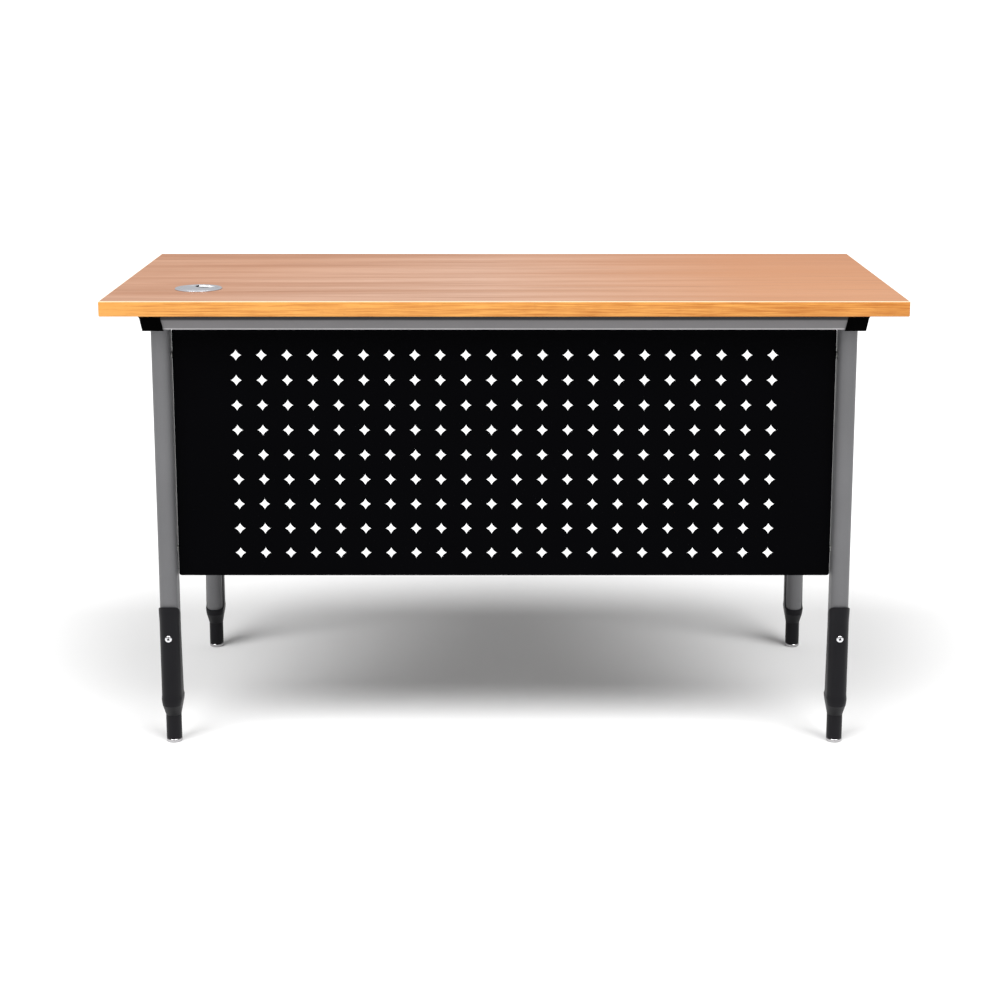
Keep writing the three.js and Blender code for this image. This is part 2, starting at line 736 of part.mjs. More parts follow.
place('modesty_panel', modestyPanel(), blackPaint);
for (const [sideName, side] of [['left', -1], ['right', 1]]) {
  for (const [index, height] of panelScrewHeights.entries()) {
    const spot = `${['upper', 'lower'][index]}_${sideName}`;
    place(`panel_screw_${spot}`, panelScrew(side, height), zincPlate);
    place(`panel_spacer_${spot}`, panelSpacer(side, height), zincPlate);
  }
}

for (const spot of topScrewSpots) {
  place(`top_screw_${spot.name}`, topScrew(spot), zincPlate);
}

place('grommet_liner', grommetLiner(), silverPlastic);
place('grommet_cap', grommetCap(), silverPlastic);

export default desk;
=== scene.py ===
import math

import bmesh
import bpy
from bpy.props import FloatProperty, FloatVectorProperty, IntProperty, PointerProperty
from mathutils import Matrix, Vector


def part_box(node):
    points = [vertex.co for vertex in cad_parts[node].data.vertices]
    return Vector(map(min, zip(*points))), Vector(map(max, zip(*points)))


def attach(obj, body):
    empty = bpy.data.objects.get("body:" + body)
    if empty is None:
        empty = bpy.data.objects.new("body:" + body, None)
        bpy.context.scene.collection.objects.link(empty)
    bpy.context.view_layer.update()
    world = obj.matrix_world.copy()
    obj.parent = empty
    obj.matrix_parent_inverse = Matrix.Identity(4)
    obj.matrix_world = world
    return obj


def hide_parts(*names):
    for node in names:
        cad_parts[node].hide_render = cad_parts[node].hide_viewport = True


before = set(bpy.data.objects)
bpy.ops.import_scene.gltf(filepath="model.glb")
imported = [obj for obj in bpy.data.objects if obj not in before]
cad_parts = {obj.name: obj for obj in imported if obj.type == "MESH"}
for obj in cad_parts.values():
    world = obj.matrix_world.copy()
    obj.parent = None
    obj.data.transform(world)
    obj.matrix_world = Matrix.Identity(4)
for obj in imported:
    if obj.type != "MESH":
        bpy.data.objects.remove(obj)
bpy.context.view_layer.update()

bl_info = {
    "name": "Teacher Desk",
    "version": (1, 0, 0),
    "blender": (4, 5, 0),
    "location": "3D View > Sidebar > Desk",
    "description": "Builds a steel-framed teacher desk with a perforated modesty panel",
    "category": "Add Mesh",
}

MM = 0.001
CORNERS = ("front_left", "front_right", "rear_left", "rear_right")

# Faces that meet at less than the first angle are shaded as one, and at less than the second are joined.
SMOOTH_ANGLE = math.radians(32)
FLAT_ANGLE = math.radians(0.5)
# How far a cutting shape reaches past what it cuts.
PAST = 0.01
# How near is the same place for two corners of a mesh, and how near to a plane is on it.
NEAR = 1e-6
CLOSE = 1e-5
# A reach well past the end of a beam's cap.
FAR = 0.1
# Room that the end caps leave round the steel.
CAP_FIT = 0.3 * MM
# Radius of the holes in the sleeves and spacers, and of the holes in the beams, for their screws.
CLEARANCE_RADIUS = 3.3 * MM
PASSAGE_RADIUS = 2.6 * MM
# Radius of the shank and height of the head, for each kind of screw.
SLEEVE_SHANK, SLEEVE_HEAD = 2.7 * MM, 3.2 * MM
TOP_SHANK, TOP_HEAD = 2.2 * MM, 2.2 * MM
TOP_HEAD_RADIUS = 4.4 * MM
PANEL_SHANK, PANEL_HEAD = 3 * MM, 3.7 * MM
# How far the recess of a sleeve's screw is turned.
SLEEVE_SCREW_TURN = math.radians(28)
# A pan head's edge is this part of its height, its dome follows this power, and its recess narrows
# to these parts along and across each arm.
HEAD_EDGE = 0.35
HEAD_CURVE = 0.8
ARM_TAPER, ARM_SIDE_TAPER = 0.45, 0.8
# Brightness of the white behind the desk, and the way each front light points: inwards, ahead, down.
BACKDROP_LEVEL = 1.1
KEY_INWARDS, KEY_AHEAD, KEY_DOWN = 0.75, 1.0, -1.9


def box_size(node):
    """Length, depth and height of a node of the frame."""
    low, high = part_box(node)
    return high - low


def box_middle(node):
    """Middle of a node of the frame."""
    low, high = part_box(node)
    return (low + high) / 2


def length(name, description, millimetres):
    """A size that the sidebar shows."""
    return FloatProperty(
        name=name,
        description=description,
        default=millimetres * MM,
        min=0.0,
        subtype="DISTANCE",
        unit="LENGTH",
        precision=4,
    )


def colour(name, description, value):
    """A linear colour that the sidebar shows."""
    return FloatVectorProperty(
        name=name, description=description, default=value, size=3, min=0.0, max=1.0, subtype="COLOR"
    )


def angle(name, description, degrees):
    """An angle that the sidebar shows."""
    return FloatProperty(
        name=name, description=description, default=math.radians(degrees), subtype="ANGLE"
    )


def share(name, description, value):
    """A part of one that the sidebar shows."""
    return FloatProperty(
        name=name, description=description, default=value, min=0.0, max=1.0, subtype="FACTOR"
    )


# ---- Sizes and colours ----


class DeskTopSettings(bpy.types.PropertyGroup):
    """Sizes of the top board and its edging"""

    arris_radius: length("Arris radius", "Rounding of the outer edges of the edging", 1.7)
    arris_steps: IntProperty(name="Arris steps", description="Faces across each rounding", default=5, min=1)
    hole_radius: length("Grommet hole radius", "Radius of the hole for the cable grommet", 35)
    hole_steps: IntProperty(name="Hole steps", description="Sides of the grommet hole", default=96, min=12)


class DeskFrameSettings(bpy.types.PropertyGroup):
    """Sizes of the steel frame and its plastic fittings"""

    tube_wall: length("Tube wall", "Wall of the steel tubes", 1.5)
    tube_corner: length("Tube corner", "Outer corner radius of the beams and rails", 3)
    access_radius: length("Access radius", "Holes under the beams for the top's screws", 6.5)
    oval_steps: IntProperty(name="Oval steps", description="Sides of the oval sections", default=72, min=12)
    bead_growth: length("Weld bead", "How far the weld stands out round the top of a leg", 1.1)
    bead_height: length("Weld bead height", "Height of the weld round the top of a leg", 3)
    cap_rounding: length("Cap rounding", "Rounding of the moulded edges of the end caps", 0.7)
    cap_corner: length("Cap corner radius", "Radius of the end caps' corners, seen from above", 17)
    cap_slant: length("Cap slant", "How far the end face of a cap leans in at the bottom", 6.5)
    cap_lip: length("Cap lip", "How far the lip of a cap stands out at the top", 4)
    cap_lip_height: length("Cap lip height", "Height of the upright part of the lip", 2.6)
    cap_wall: length("Cap wall", "Wall of an end cap", 1.5)


class DeskFootSettings(bpy.types.PropertyGroup):
    """Sizes of the foot sleeves and the glides"""

    side_reach: length("Sleeve side reach", "Half width of the sleeve's plain part", 16.6)
    nose_reach: length("Sleeve nose reach", "Half depth of the sleeve's plain part", 28.05)
    rim: length("Rim", "How far the top rim and the shoulder stand out", 0.8)
    neck_radius: length("Neck radius", "Radius of the sleeve's neck", 13)
    neck_top: length("Neck top", "Height at which the neck starts to swell", 48)
    shoulder: length("Shoulder", "Height of the shoulder", 79)
    socket_rim: length("Socket rim", "Height of the socket's rim at the sides", 81)
    socket_nose_rim: length("Socket nose rim", "Height of the socket's rim at its inner nose", 79)
    socket_edge: length("Socket edge", "How far back the shell's side edges reach at the bottom", 10)
    shell_side_top: length("Shell side top", "Height of the shell at its side edges", 226)
    fit: length("Fit", "Gap between the sleeve and the leg", 0.25)
    edge_rounding: length("Edge rounding", "Rounding of the sleeve's rims", 0.45)
    recess_radius: length("Recess radius", "Radius of the screw's recess", 7.2)
    recess_depth: length("Recess depth", "Depth of the screw's recess", 1.3)
    glide_height: length("Glide height", "Height of the round foot of a glide", 6.5)
    glide_rounding: length("Glide rounding", "Rounding of the foot of a glide", 2.2)
    stud_radius: length("Stud radius", "Radius of a glide's threaded stud", 4)
    thread_pitch: length("Thread pitch", "Rise of one turn of the stud's thread", 1.25)


class DeskPanelSettings(bpy.types.PropertyGroup):
    """Sizes of the modesty panel and its holes"""

    pitch: length("Pitch", "Distance between the holes, both ways", 41.7)
    star_radius: length("Star radius", "Radius to the points of a hole", 9.25)
    star_waist: share(
        "Star waist", "How far the sides of a hole lie from its middle, on each axis, of its radius", 0.385
    )
    side_steps: IntProperty(name="Side steps", description="Edges on each side of a hole", default=4, min=2)
    columns: IntProperty(name="Columns", description="Holes across", default=22, min=1)
    rows: IntProperty(name="Rows", description="Holes up", default=9, min=1)
    top_margin: length("Top margin", "From the top edge to the middle of the first row", 43.4)
    sheet: length("Sheet", "Thickness of the steel sheet", 1)
    bend_radius: length("Bend radius", "Outer radius of the bends", 2)
    bend_steps: IntProperty(name="Bend steps", description="Faces across each bend", default=4, min=1)
    corner_radius: length("Corner radius", "Radius of the panel's corners", 4)


class DeskGrommetSettings(bpy.types.PropertyGroup):
    """Sizes of the cable grommet"""

    flange_radius: length("Flange radius", "Outer radius of the flange", 39.2)
    flange_height: length("Flange height", "Height of the flange above the board", 1.6)
    liner_radius: length("Liner radius", "Outer radius of the liner, below the flange", 34.7)
    liner_depth: length("Liner depth", "How far the liner reaches below the board's top", 22)
    liner_wall: length("Liner wall", "Wall of the liner", 2)
    lid_radius: length("Lid radius", "Radius of the turning lid", 31.5)
    lid_gap: length("Lid gap", "Gap round the lid", 0.4)
    lid_thickness: length("Lid thickness", "Thickness of the lid", 2.4)
    ledge_radius: length("Ledge radius", "Inner radius of the ledge under the lid", 29.5)
    skirt_depth: length("Skirt depth", "Depth of the lid's skirt", 6)
    notch_radius: length("Notch radius", "Radius of the cable notch", 17)
    notch_across: length("Notch across", "From the lid's middle to the notch's, along the desk", 9)
    notch_along: length("Notch along", "From the lid's middle to the notch's, towards the user", 20)


class DeskFinishSettings(bpy.types.PropertyGroup):
    """Colours of the finishes"""

    laminate_light: colour("Laminate light", "Light grain of the top", (0.730, 0.480, 0.360))
    laminate_dark: colour("Laminate dark", "Dark grain of the top", (0.460, 0.225, 0.125))
    # Painted shade: the tint that darkens the left and rear parts of the top, so that its middle reads as
    # catching a sheen.
    laminate_painted_shade: colour("Laminate shade", "Tint of the left and rear parts of the top", (0.80, 0.66, 0.55))
    laminate_warm: colour("Laminate warm", "Warm broad bands of the top", (0.615, 0.285, 0.135))
    tape_light: colour("Edging light", "Light grain of the edging", (0.745, 0.338, 0.070))
    tape_dark: colour("Edging dark", "Dark grain of the edging", (0.470, 0.155, 0.016))
    # Painted highlight: the pale colour of the edging's rounded upper arris.
    tape_arris_highlight: colour("Edging trim", "Trimmed upper arris of the edging", (0.84, 0.66, 0.47))
    grey: colour("Grey", "Powder coat of the legs", (0.132, 0.132, 0.137))
    # Painted lighter than the legs' grey: a lit copy of the same powder coat for the beams and rails.
    beam_grey_painted_lighter: colour("Beam grey", "Powder coat of the beams and rails", (0.212, 0.206, 0.212))
    black: colour("Black", "Powder coat of the panel", (0.0012, 0.0012, 0.0016))
    plastic: colour("Black plastic", "Foot sleeves", (0.0060, 0.0057, 0.0073))
    cap_plastic: colour("Cap plastic", "End caps", (0.0006, 0.0006, 0.0006))
    backing: colour("Backing", "Backing sheet under the top", (0.115, 0.100, 0.088))
    chrome: colour("Chrome", "Sleeve screws", (0.80, 0.80, 0.82))
    nickel: colour("Nickel", "Glides", (0.50, 0.49, 0.50))
    zinc: colour("Zinc", "Screws, spacers and nuts", (0.60, 0.60, 0.58))
    silver: colour("Silver plastic", "Cable grommet", (0.60, 0.615, 0.66))
    # Painted highlight: a paler copy of the silver plastic for the seat that the lid sits in.
    painted_highlight_silver: colour("Pale silver", "Unpainted seat of the grommet's lid", (0.90, 0.91, 0.93))


class DeskStageSettings(bpy.types.PropertyGroup):
    """Floor, light and camera"""

    floor_size: FloatProperty(name="Floor size", description="Side of the floor", default=160, unit="LENGTH")
    floor_colour: colour("Floor colour", "Pale matt floor", (0.90, 0.90, 0.90))
    sky_strength: FloatProperty(name="Sky strength", description="Soft light from all round", default=0.34)
    key_strength: FloatProperty(name="Key strength", description="Each of the two front lights", default=2.15)
    key_spread: angle("Key spread", "Angle that a front light fills", 34)
    camera_place: FloatVectorProperty(
        name="Camera place",
        description="Where the camera stands",
        default=(0.002, -3.424, 1.237),
        subtype="XYZ",
        unit="LENGTH",
    )
    camera_dip: angle("Camera dip", "How far the camera looks down", 10.96)
    camera_lens: FloatProperty(name="Lens", description="Focal length in millimetres", default=71.1)
    camera_shift: FloatVectorProperty(
        name="Shift", description="Shift of the lens, across and up", default=(-0.0054, -0.12), size=2
    )


SETTINGS = {
    "desk_top": DeskTopSettings,
    "desk_frame": DeskFrameSettings,
    "desk_foot": DeskFootSettings,
    "desk_panel": DeskPanelSettings,
    "desk_grommet": DeskGrommetSettings,
    "desk_finish": DeskFinishSettings,
    "desk_stage": DeskStageSettings,
}


# ---- Finishes ----


class Finish:
    """A procedural material on Object coordinates."""

    def __init__(self, name):
        self.material = bpy.data.materials.new(name)
        self.material.use_nodes = True
        self.tree = self.material.node_tree
        self.shader = self.tree.nodes["Principled BSDF"]
        self.place = self.tree.nodes.new("ShaderNodeTexCoord").outputs["Object"]

    def node(self, kind, settings=None, **sockets):
        made = self.tree.nodes.new(kind)
        for name, value in (settings or {}).items():
            setattr(made, name, value)
        self.fill(made, sockets)
        return made

    def fill(self, made, sockets):
        for name, value in sockets.items():
            socket = made.inputs[name.replace("_", " ")]
            if isinstance(value, bpy.types.NodeSocket):
                self.tree.links.new(value, socket)
            else:
                socket.default_value = value

    def shade(self, **sockets):
        self.fill(self.shader, sockets)
        return self.material

    def noise(self, scale, stretch=(1, 1, 1), detail=3.0, roughness=0.5, distortion=0.0):
        """Noise on Object coordinates, stretched."""
        mapping = self.node("ShaderNodeMapping", Vector=self.place, Scale=stretch)
        made = self.node(
            "ShaderNodeTexNoise",
            Vector=mapping.outputs["Vector"],
            Scale=scale,
            Detail=detail,
            Roughness=roughness,
            Distortion=distortion,
        )
        return made.outputs["Fac"]

    def ranged(self, value, low, high, to_low=0.0, to_high=1.0):
        """A value between low and high, moved to another range."""
        made = self.node("ShaderNodeMapRange", Value=value)
        self.fill(made, {"From_Min": low, "From_Max": high, "To_Min": to_low, "To_Max": to_high})
        return made.outputs["Result"]

    def mixed(self, factor, first, second, blend="MIX"):
        made = self.node("ShaderNodeMix", {"data_type": "RGBA", "blend_type": blend})
        for index, value in ((0, factor), (6, first), (7, second)):
            socket = made.inputs[index]
            if isinstance(value, bpy.types.NodeSocket):
                self.tree.links.new(value, socket)
            elif index == 0:
                socket.default_value = value
            else:
                socket.default_value = (*value, 1.0)
        return made.outputs[2]

    def summed(self, *parts):
        """A weighted sum of values."""
        total = None
        for value, weight in parts:
            term = self.node("ShaderNodeMath", {"operation": "MULTIPLY"})
            self.tree.links.new(value, term.inputs[0])
            term.inputs[1].default_value = weight
            if total is None:
                total = term.outputs[0]
                continue
            add = self.node("ShaderNodeMath", {"operation": "ADD"})
            self.tree.links.new(total, add.inputs[0])
            self.tree.links.new(term.outputs[0], add.inputs[1])
            total = add.outputs[0]
        return total

    def bump(self, height, depth, strength=1.0):
        made = self.node("ShaderNodeBump", Height=height, Distance=depth, Strength=strength)
        return made.outputs["Normal"]


def scaled(tint, factor, lift=0.0):
    """A colour made darker or lighter, kept within range."""
    return tuple(min(value * factor + lift, 1.0) for value in tint)


def laminate_finish(name, colours):
    """Wood-print laminate with the grain along the desk."""
    made = Finish(name)
    streaks = made.noise(1.0, (1.3, 30, 30), detail=6, roughness=0.68, distortion=0.3)
    fine = made.noise(1.0, (7, 420, 420), detail=4, roughness=0.6)
    bands = made.noise(1.0, (0.55, 7.5, 7.5), detail=2, roughness=0.5, distortion=0.6)
    drift = made.noise(1.0, (0.9, 1.6, 1.6), detail=1, roughness=0.4)
    pores = made.noise(1.0, (26, 900, 900), detail=2, roughness=0.5)
    grain = made.summed((streaks, 0.6), (fine, 0.25), (bands, 0.4))
    light = made.ranged(grain, 0.50, 0.75)
    body = made.mixed(light, colours.laminate_dark, colours.laminate_light)
    place = made.node("ShaderNodeSeparateXYZ", Vector=made.place)
    right = made.ranged(place.outputs["X"], -0.05, 0.42)
    warm = made.ranged(drift, 0.36, 0.66, 0.0, 0.20)
    warm = made.summed((warm, 1.0), (right, 0.75))
    body = made.mixed(warm, body, colours.laminate_warm)
    # Painted shade and sheen: the top is darkened towards the left and the rear, so that the middle reads as
    # lit.
    left = made.ranged(place.outputs["X"], 0.0, -0.50, 0.0, 0.72)
    rear = made.ranged(place.outputs["Y"], -0.20, 0.30, 0.0, 0.55)
    body = made.mixed(made.summed((left, 1.0), (rear, 1.0)), body, colours.laminate_painted_shade, "MULTIPLY")
    lines = made.noise(1.0, (2.1, 75, 75), detail=3, roughness=0.55, distortion=0.2)
    line = made.ranged(lines, 0.52, 0.66, 0.0, 0.34)
    body = made.mixed(line, body, scaled(colours.laminate_dark, 0.82))
    pore = made.ranged(pores, 0.64, 0.74, 0.0, 0.35)
    body = made.mixed(pore, body, scaled(colours.laminate_dark, 0.62))
    roughness = made.ranged(fine, 0.3, 0.7, 0.34, 0.44)
    height = made.summed((fine, 0.6), (pores, -0.4))
    return made.shade(
        Base_Color=body,
        Roughness=roughness,
        Specular_IOR_Level=0.42,
        Normal=made.bump(height, 0.00012, 0.35),
    )


def tape_finish(name, colours, along, arris_highlight=None):
    """Wood-print edging with its grain along one axis of the desk, with a paler colour painted on as a
    highlight when one is given.
    """
    made = Finish(name)
    across = [1.0, 1.0, 1.0]
    across[along] = 0.035
    streaks = made.noise(330, tuple(across), detail=4, roughness=0.66, distortion=0.25)
    across[along] = 0.012
    veins = made.noise(620, tuple(across), detail=3, roughness=0.55, distortion=0.5)
    across[along] = 0.12
    flecks = made.noise(900, tuple(across), detail=2, roughness=0.5)
    broad = made.noise(22, (1, 1, 1), detail=2, roughness=0.5)
    place = made.node("ShaderNodeSeparateXYZ", Vector=made.place)
    grain = made.summed((streaks, 0.55), (veins, 0.35), (broad, 0.12), (place.outputs["X"], 0.09))
    dark = made.ranged(grain, 0.42, 0.62)
    body = made.mixed(dark, colours.tape_light, colours.tape_dark)
    # A painted highlight, given as a paler colour.
    if arris_highlight is not None:
        body = made.mixed(0.85, body, arris_highlight)
    fleck = made.ranged(flecks, 0.64, 0.76, 0.0, 0.5)
    body = made.mixed(fleck, body, scaled(colours.tape_dark, 0.55))
    return made.shade(
        Base_Color=body,
        Roughness=made.ranged(streaks, 0.3, 0.7, 0.32, 0.42),
        Specular_IOR_Level=0.45,
        Normal=made.bump(grain, 0.0001, 0.3),
    )


def powder_finish(name, body, roughness, specular, peel_depth, metallic=0.0, flake=0.0, painted_light_heights=None):
    """Powder coat: fine orange peel, with a slight cloudiness and flakes.

    The last argument gives the heights of a tube's bottom and top, for a painted highlight pale along the
    bottom arris and a painted shadow dark under the board.
    """
    made = Finish(name)
    peel = made.noise(620, detail=3, roughness=0.55)
    grit = made.noise(2600, detail=2, roughness=0.5)
    cloud = made.noise(9, detail=3, roughness=0.5)
    tint = made.ranged(cloud, 0.3, 0.7)
    tint = made.mixed(tint, scaled(body, 0.93), scaled(body, 1.07))
    sparkle = made.ranged(grit, 0.60, 0.72, 0.0, flake)
    tint = made.mixed(sparkle, tint, scaled(body, 1.9, 0.01))
    if painted_light_heights is not None:
        bottom, top = painted_light_heights
        up = made.node("ShaderNodeSeparateXYZ", Vector=made.place).outputs["Z"]
        up = made.summed((up, 1.0), (cloud, 1 * MM))
        # Painted highlight along the bottom arris.
        painted_arris_highlight = made.ranged(up, bottom + 3.4 * MM, bottom + 2.2 * MM, 0.0, 0.70)
        tint = made.mixed(painted_arris_highlight, tint, scaled(body, 3.2))
        # Painted shadow under the board's overhang.
        painted_board_shadow = made.ranged(up, top - 10 * MM, top - 7.4 * MM, 0.0, 0.97)
        tint = made.mixed(painted_board_shadow, tint, scaled(body, 0.05))
    height = made.summed((peel, 0.8), (grit, 0.2))
    return made.shade(
        Base_Color=tint,
        Metallic=metallic,
        Roughness=made.ranged(cloud, 0.3, 0.7, roughness - 0.03, roughness + 0.04),
        Specular_IOR_Level=specular,
        Normal=made.bump(height, peel_depth, 0.5),
    )


def plastic_finish(name, body, roughness, specular):
    """Moulded plastic with a fine spark-eroded grain and light scuffs."""
    made = Finish(name)
    grain = made.noise(1500, detail=2, roughness=0.6)
    scuffs = made.noise(60, (1, 1, 0.12), detail=5, roughness=0.7, distortion=1.5)
    cloud = made.noise(14, detail=2)
    scuff = made.ranged(scuffs, 0.60, 0.78, 0.0, 0.25)
    tint = made.mixed(made.ranged(cloud, 0.3, 0.7), scaled(body, 0.9), scaled(body, 1.1))
    tint = made.mixed(scuff, tint, scaled(body, 1.8, 0.004))
    return made.shade(
        Base_Color=tint,
        Roughness=made.ranged(scuffs, 0.3, 0.8, roughness + 0.04, roughness - 0.04),
        Specular_IOR_Level=specular,
        Normal=made.bump(grain, 0.00008, 0.4),
    )


def metal_finish(name, body, roughness, mottle):
    """Plated metal, with a slight mottle and fine marks."""
    made = Finish(name)
    marks = made.noise(800, detail=4, roughness=0.6)
    cloud = made.noise(160, detail=3, roughness=0.6)
    tint = made.mixed(made.ranged(cloud, 0.35, 0.65), scaled(body, 1 - mottle), body)
    return made.shade(
        Base_Color=tint,
        Metallic=1.0,
        Roughness=made.ranged(marks, 0.3, 0.7, roughness * 0.8, roughness * 1.25),
        Normal=made.bump(marks, 0.00004, 0.25),
    )


def silver_finish(name, colours):
    """Silver moulded plastic with metallic flake."""
    made = Finish(name)
    flake = made.noise(3200, detail=1)
    grain = made.noise(1400, detail=2)
    cloud = made.noise(30, detail=2)
    tint = made.mixed(made.ranged(cloud, 0.3, 0.7), scaled(colours.silver, 0.94), colours.silver)
    tint = made.mixed(made.ranged(flake, 0.58, 0.70, 0.0, 0.5), tint, (0.85, 0.86, 0.9))
    return made.shade(
        Base_Color=tint,
        Metallic=0.55,
        Roughness=made.ranged(grain, 0.3, 0.7, 0.30, 0.38),
        Specular_IOR_Level=0.5,
        Normal=made.bump(grain, 0.00005, 0.4),
    )


def finish(name):
    """The material of that name, made when it is first asked for."""
    found = bpy.data.materials.get(name)
    if found is not None:
        return found
    colours = bpy.context.scene.desk_finish
    beam_low, beam_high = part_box("beam_front")
    # Painted shade for the screws' cross recesses: chrome darkened nearly to black.
    recess = scaled(colours.chrome, 0.06)
    makers = {
        "beech_laminate": (laminate_finish, colours),
        "edging_along": (tape_finish, colours, 0),
        "edging_across": (tape_finish, colours, 1),
        "edging_trim": (tape_finish, colours, 0, colours.tape_arris_highlight),
        "grey_coat": (powder_finish, colours.grey, 0.46, 0.34, 0.00006, 0.08, 0.35),
        # The beams' coat: a lighter copy of the legs' grey, with a painted highlight and a painted shadow.
        "beam_coat": (
            powder_finish, colours.beam_grey_painted_lighter, 0.38, 0.5, 0.00006, 0.15, 0.35, (beam_low.z, beam_high.z)
        ),
        "black_coat": (powder_finish, colours.black, 0.52, 0.012, 0.00008),
        "backing_sheet": (powder_finish, colours.backing, 0.7, 0.2, 0.00004),
        "sleeve_plastic": (plastic_finish, colours.plastic, 0.40, 0.14),
        "cap_plastic": (plastic_finish, colours.cap_plastic, 0.5, 0.01),
        # Painted highlight on the seat of the grommet's lid.
        "grommet_seat": (plastic_finish, colours.painted_highlight_silver, 0.3, 0.5),
        # Painted shade inside the grommet's bore and under its lid.
        "grommet_inside": (plastic_finish, colours.cap_plastic, 0.6, 0.1),
        "bright_chrome": (metal_finish, colours.chrome, 0.11, 0.06),
        "nickel_plating": (metal_finish, colours.nickel, 0.16, 0.12),
        "zinc_plating": (metal_finish, colours.zinc, 0.34, 0.22),
        "screw_recess": (metal_finish, recess, 0.6, 0.3),
        "silver_moulding": (silver_finish, colours),
    }
    make, *values = makers[name]
    return make(name, *values)


# ---- Making meshes ----


def soften(bm):
    """Smooth shading, with sharp edges where two faces meet at more than an angle."""
    for face in bm.faces:
        face.smooth = True
    for edge in bm.edges:
        edge.smooth = len(edge.link_faces) == 2 and edge.calc_face_angle(0.0) < SMOOTH_ANGLE


def join_up(bm):
    """Merge what touches and turn all faces outwards."""
    bmesh.ops.remove_doubles(bm, verts=bm.verts, dist=1e-7)
    bmesh.ops.recalc_face_normals(bm, faces=bm.faces)


def move(bm, by):
    """Move a mesh under construction."""
    bmesh.ops.translate(bm, vec=by, verts=bm.verts)


def place_mesh(bm, matrix):
    """Turn, mirror and move a mesh under construction."""
    bmesh.ops.transform(bm, matrix=matrix, verts=bm.verts)


def only(kind, items):
    """The corners, edges or faces among the results of an operation."""
    return [item for item in items if isinstance(item, kind)]


def add_piece(bm, name, material, body, slot, nodes, *others):
    """Put a finished mesh into the scene, standing for some nodes of the frame.

    The other materials are for faces whose material index is 1 or more.
    """
    soften(bm)
    mesh = bpy.data.meshes.new(name)
    bm.to_mesh(mesh)
    bm.free()
    piece = bpy.data.objects.new(name, mesh)
    bpy.context.scene.collection.objects.link(piece)
    for look in (material, *others):
        mesh.materials.append(finish(look))
    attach(piece, body)
    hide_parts(*nodes)
    return piece


def copy_mesh(source, matrix):
    """A copy of a mesh under construction, moved by a matrix."""
    mesh = bpy.data.meshes.new("copy")
    source.to_mesh(mesh)
    made = bmesh.new()
    made.from_mesh(mesh)
    bpy.data.meshes.remove(mesh)
    place_mesh(made, matrix)
    return made


def carved(bm, operation, *tools):
    """The mesh with each tool cut out of it, added to it, or kept of it."""
    for tool in tools:
        objects = []
        for source in (bm, tool):
            mesh = bpy.data.meshes.new("carving")
            source.to_mesh(mesh)
            source.free()
            objects.append(bpy.data.objects.new("carving", mesh))
            bpy.context.scene.collection.objects.link(objects[-1])
        modifier = objects[0].modifiers.new("carve", "BOOLEAN")
        modifier.operation = operation
        modifier.solver = "EXACT"
        modifier.object = objects[1]
        depsgraph = bpy.context.evaluated_depsgraph_get()
        result = bpy.data.meshes.new_from_object(objects[0].evaluated_get(depsgraph))
        bm = bmesh.new()
        bm.from_mesh(result)
        for used in objects:
            mesh = used.data
            bpy.data.objects.remove(used)
            bpy.data.meshes.remove(mesh)
        bpy.data.meshes.remove(result)
        join_up(bm)
    return bm


def tidy_flats(bm):
    """Melt the needless edges that carving leaves on flat faces."""
    bmesh.ops.dissolve_limit(bm, angle_limit=FLAT_ANGLE, verts=bm.verts, edges=bm.edges)


def block(low, high):
    """A box between two corners."""
    low, high = Vector(low), Vector(high)
    bm = bmesh.new()
    bmesh.ops.create_cube(bm, size=1)
    bmesh.ops.scale(bm, vec=high - low, verts=bm.verts)
    move(bm, (low + high) / 2)
    return bm


def bevel_edges(bm, edges, offset, segments):
    """Round some edges."""
    bmesh.ops.bevel(
        bm,
        geom=list(edges),
        offset=offset,
        offset_type="OFFSET",
        affect="EDGES",
        segments=segments,
        profile=0.5,
        material=-1,
        clamp_overlap=True,
    )


def sharp_edges(bm, angle=math.radians(30)):
    """Edges where two faces meet at more than an angle."""
    return [e for e in bm.edges if len(e.link_faces) == 2 and e.calc_face_angle(0.0) > angle]


def rod(radius, low, high, axis="Z", segments=48):
    """A cylinder along the Y or Z axis, from low to high."""
    bm = bmesh.new()
    bmesh.ops.create_cone(
        bm, cap_ends=True, radius1=radius, radius2=radius, depth=high - low, segments=segments
    )
    move(bm, (0, 0, (low + high) / 2))
    if axis == "Y":
        bmesh.ops.rotate(bm, matrix=Matrix.Rotation(-math.pi / 2, 3, "X"), verts=bm.verts)
    return bm


def lathe(profile, segments):
    """A turned shape about Z from radius and height pairs that start and end on the axis or meet."""
    bm = bmesh.new()
    points = [bm.verts.new((radius, 0, height)) for radius, height in profile]
    for first, second in zip(points, points[1:]):
        if first is not second:
            bm.edges.new((first, second))
    bmesh.ops.spin(
        bm,
        geom=bm.verts[:] + bm.edges[:],
        cent=(0, 0, 0),
        axis=(0, 0, 1),
        dvec=(0, 0, 0),
        angle=math.tau,
        steps=segments,
        use_merge=True,
        use_duplicate=False,
    )
    join_up(bm)
    return bm


def arc(middle, radius, start, end, steps):
    """Points on an arc, angles in degrees."""
    turn = [math.radians(start + (end - start) * step / steps) for step in range(steps + 1)]
    return [(middle[0] + radius * math.cos(a), middle[1] + radius * math.sin(a)) for a in turn]


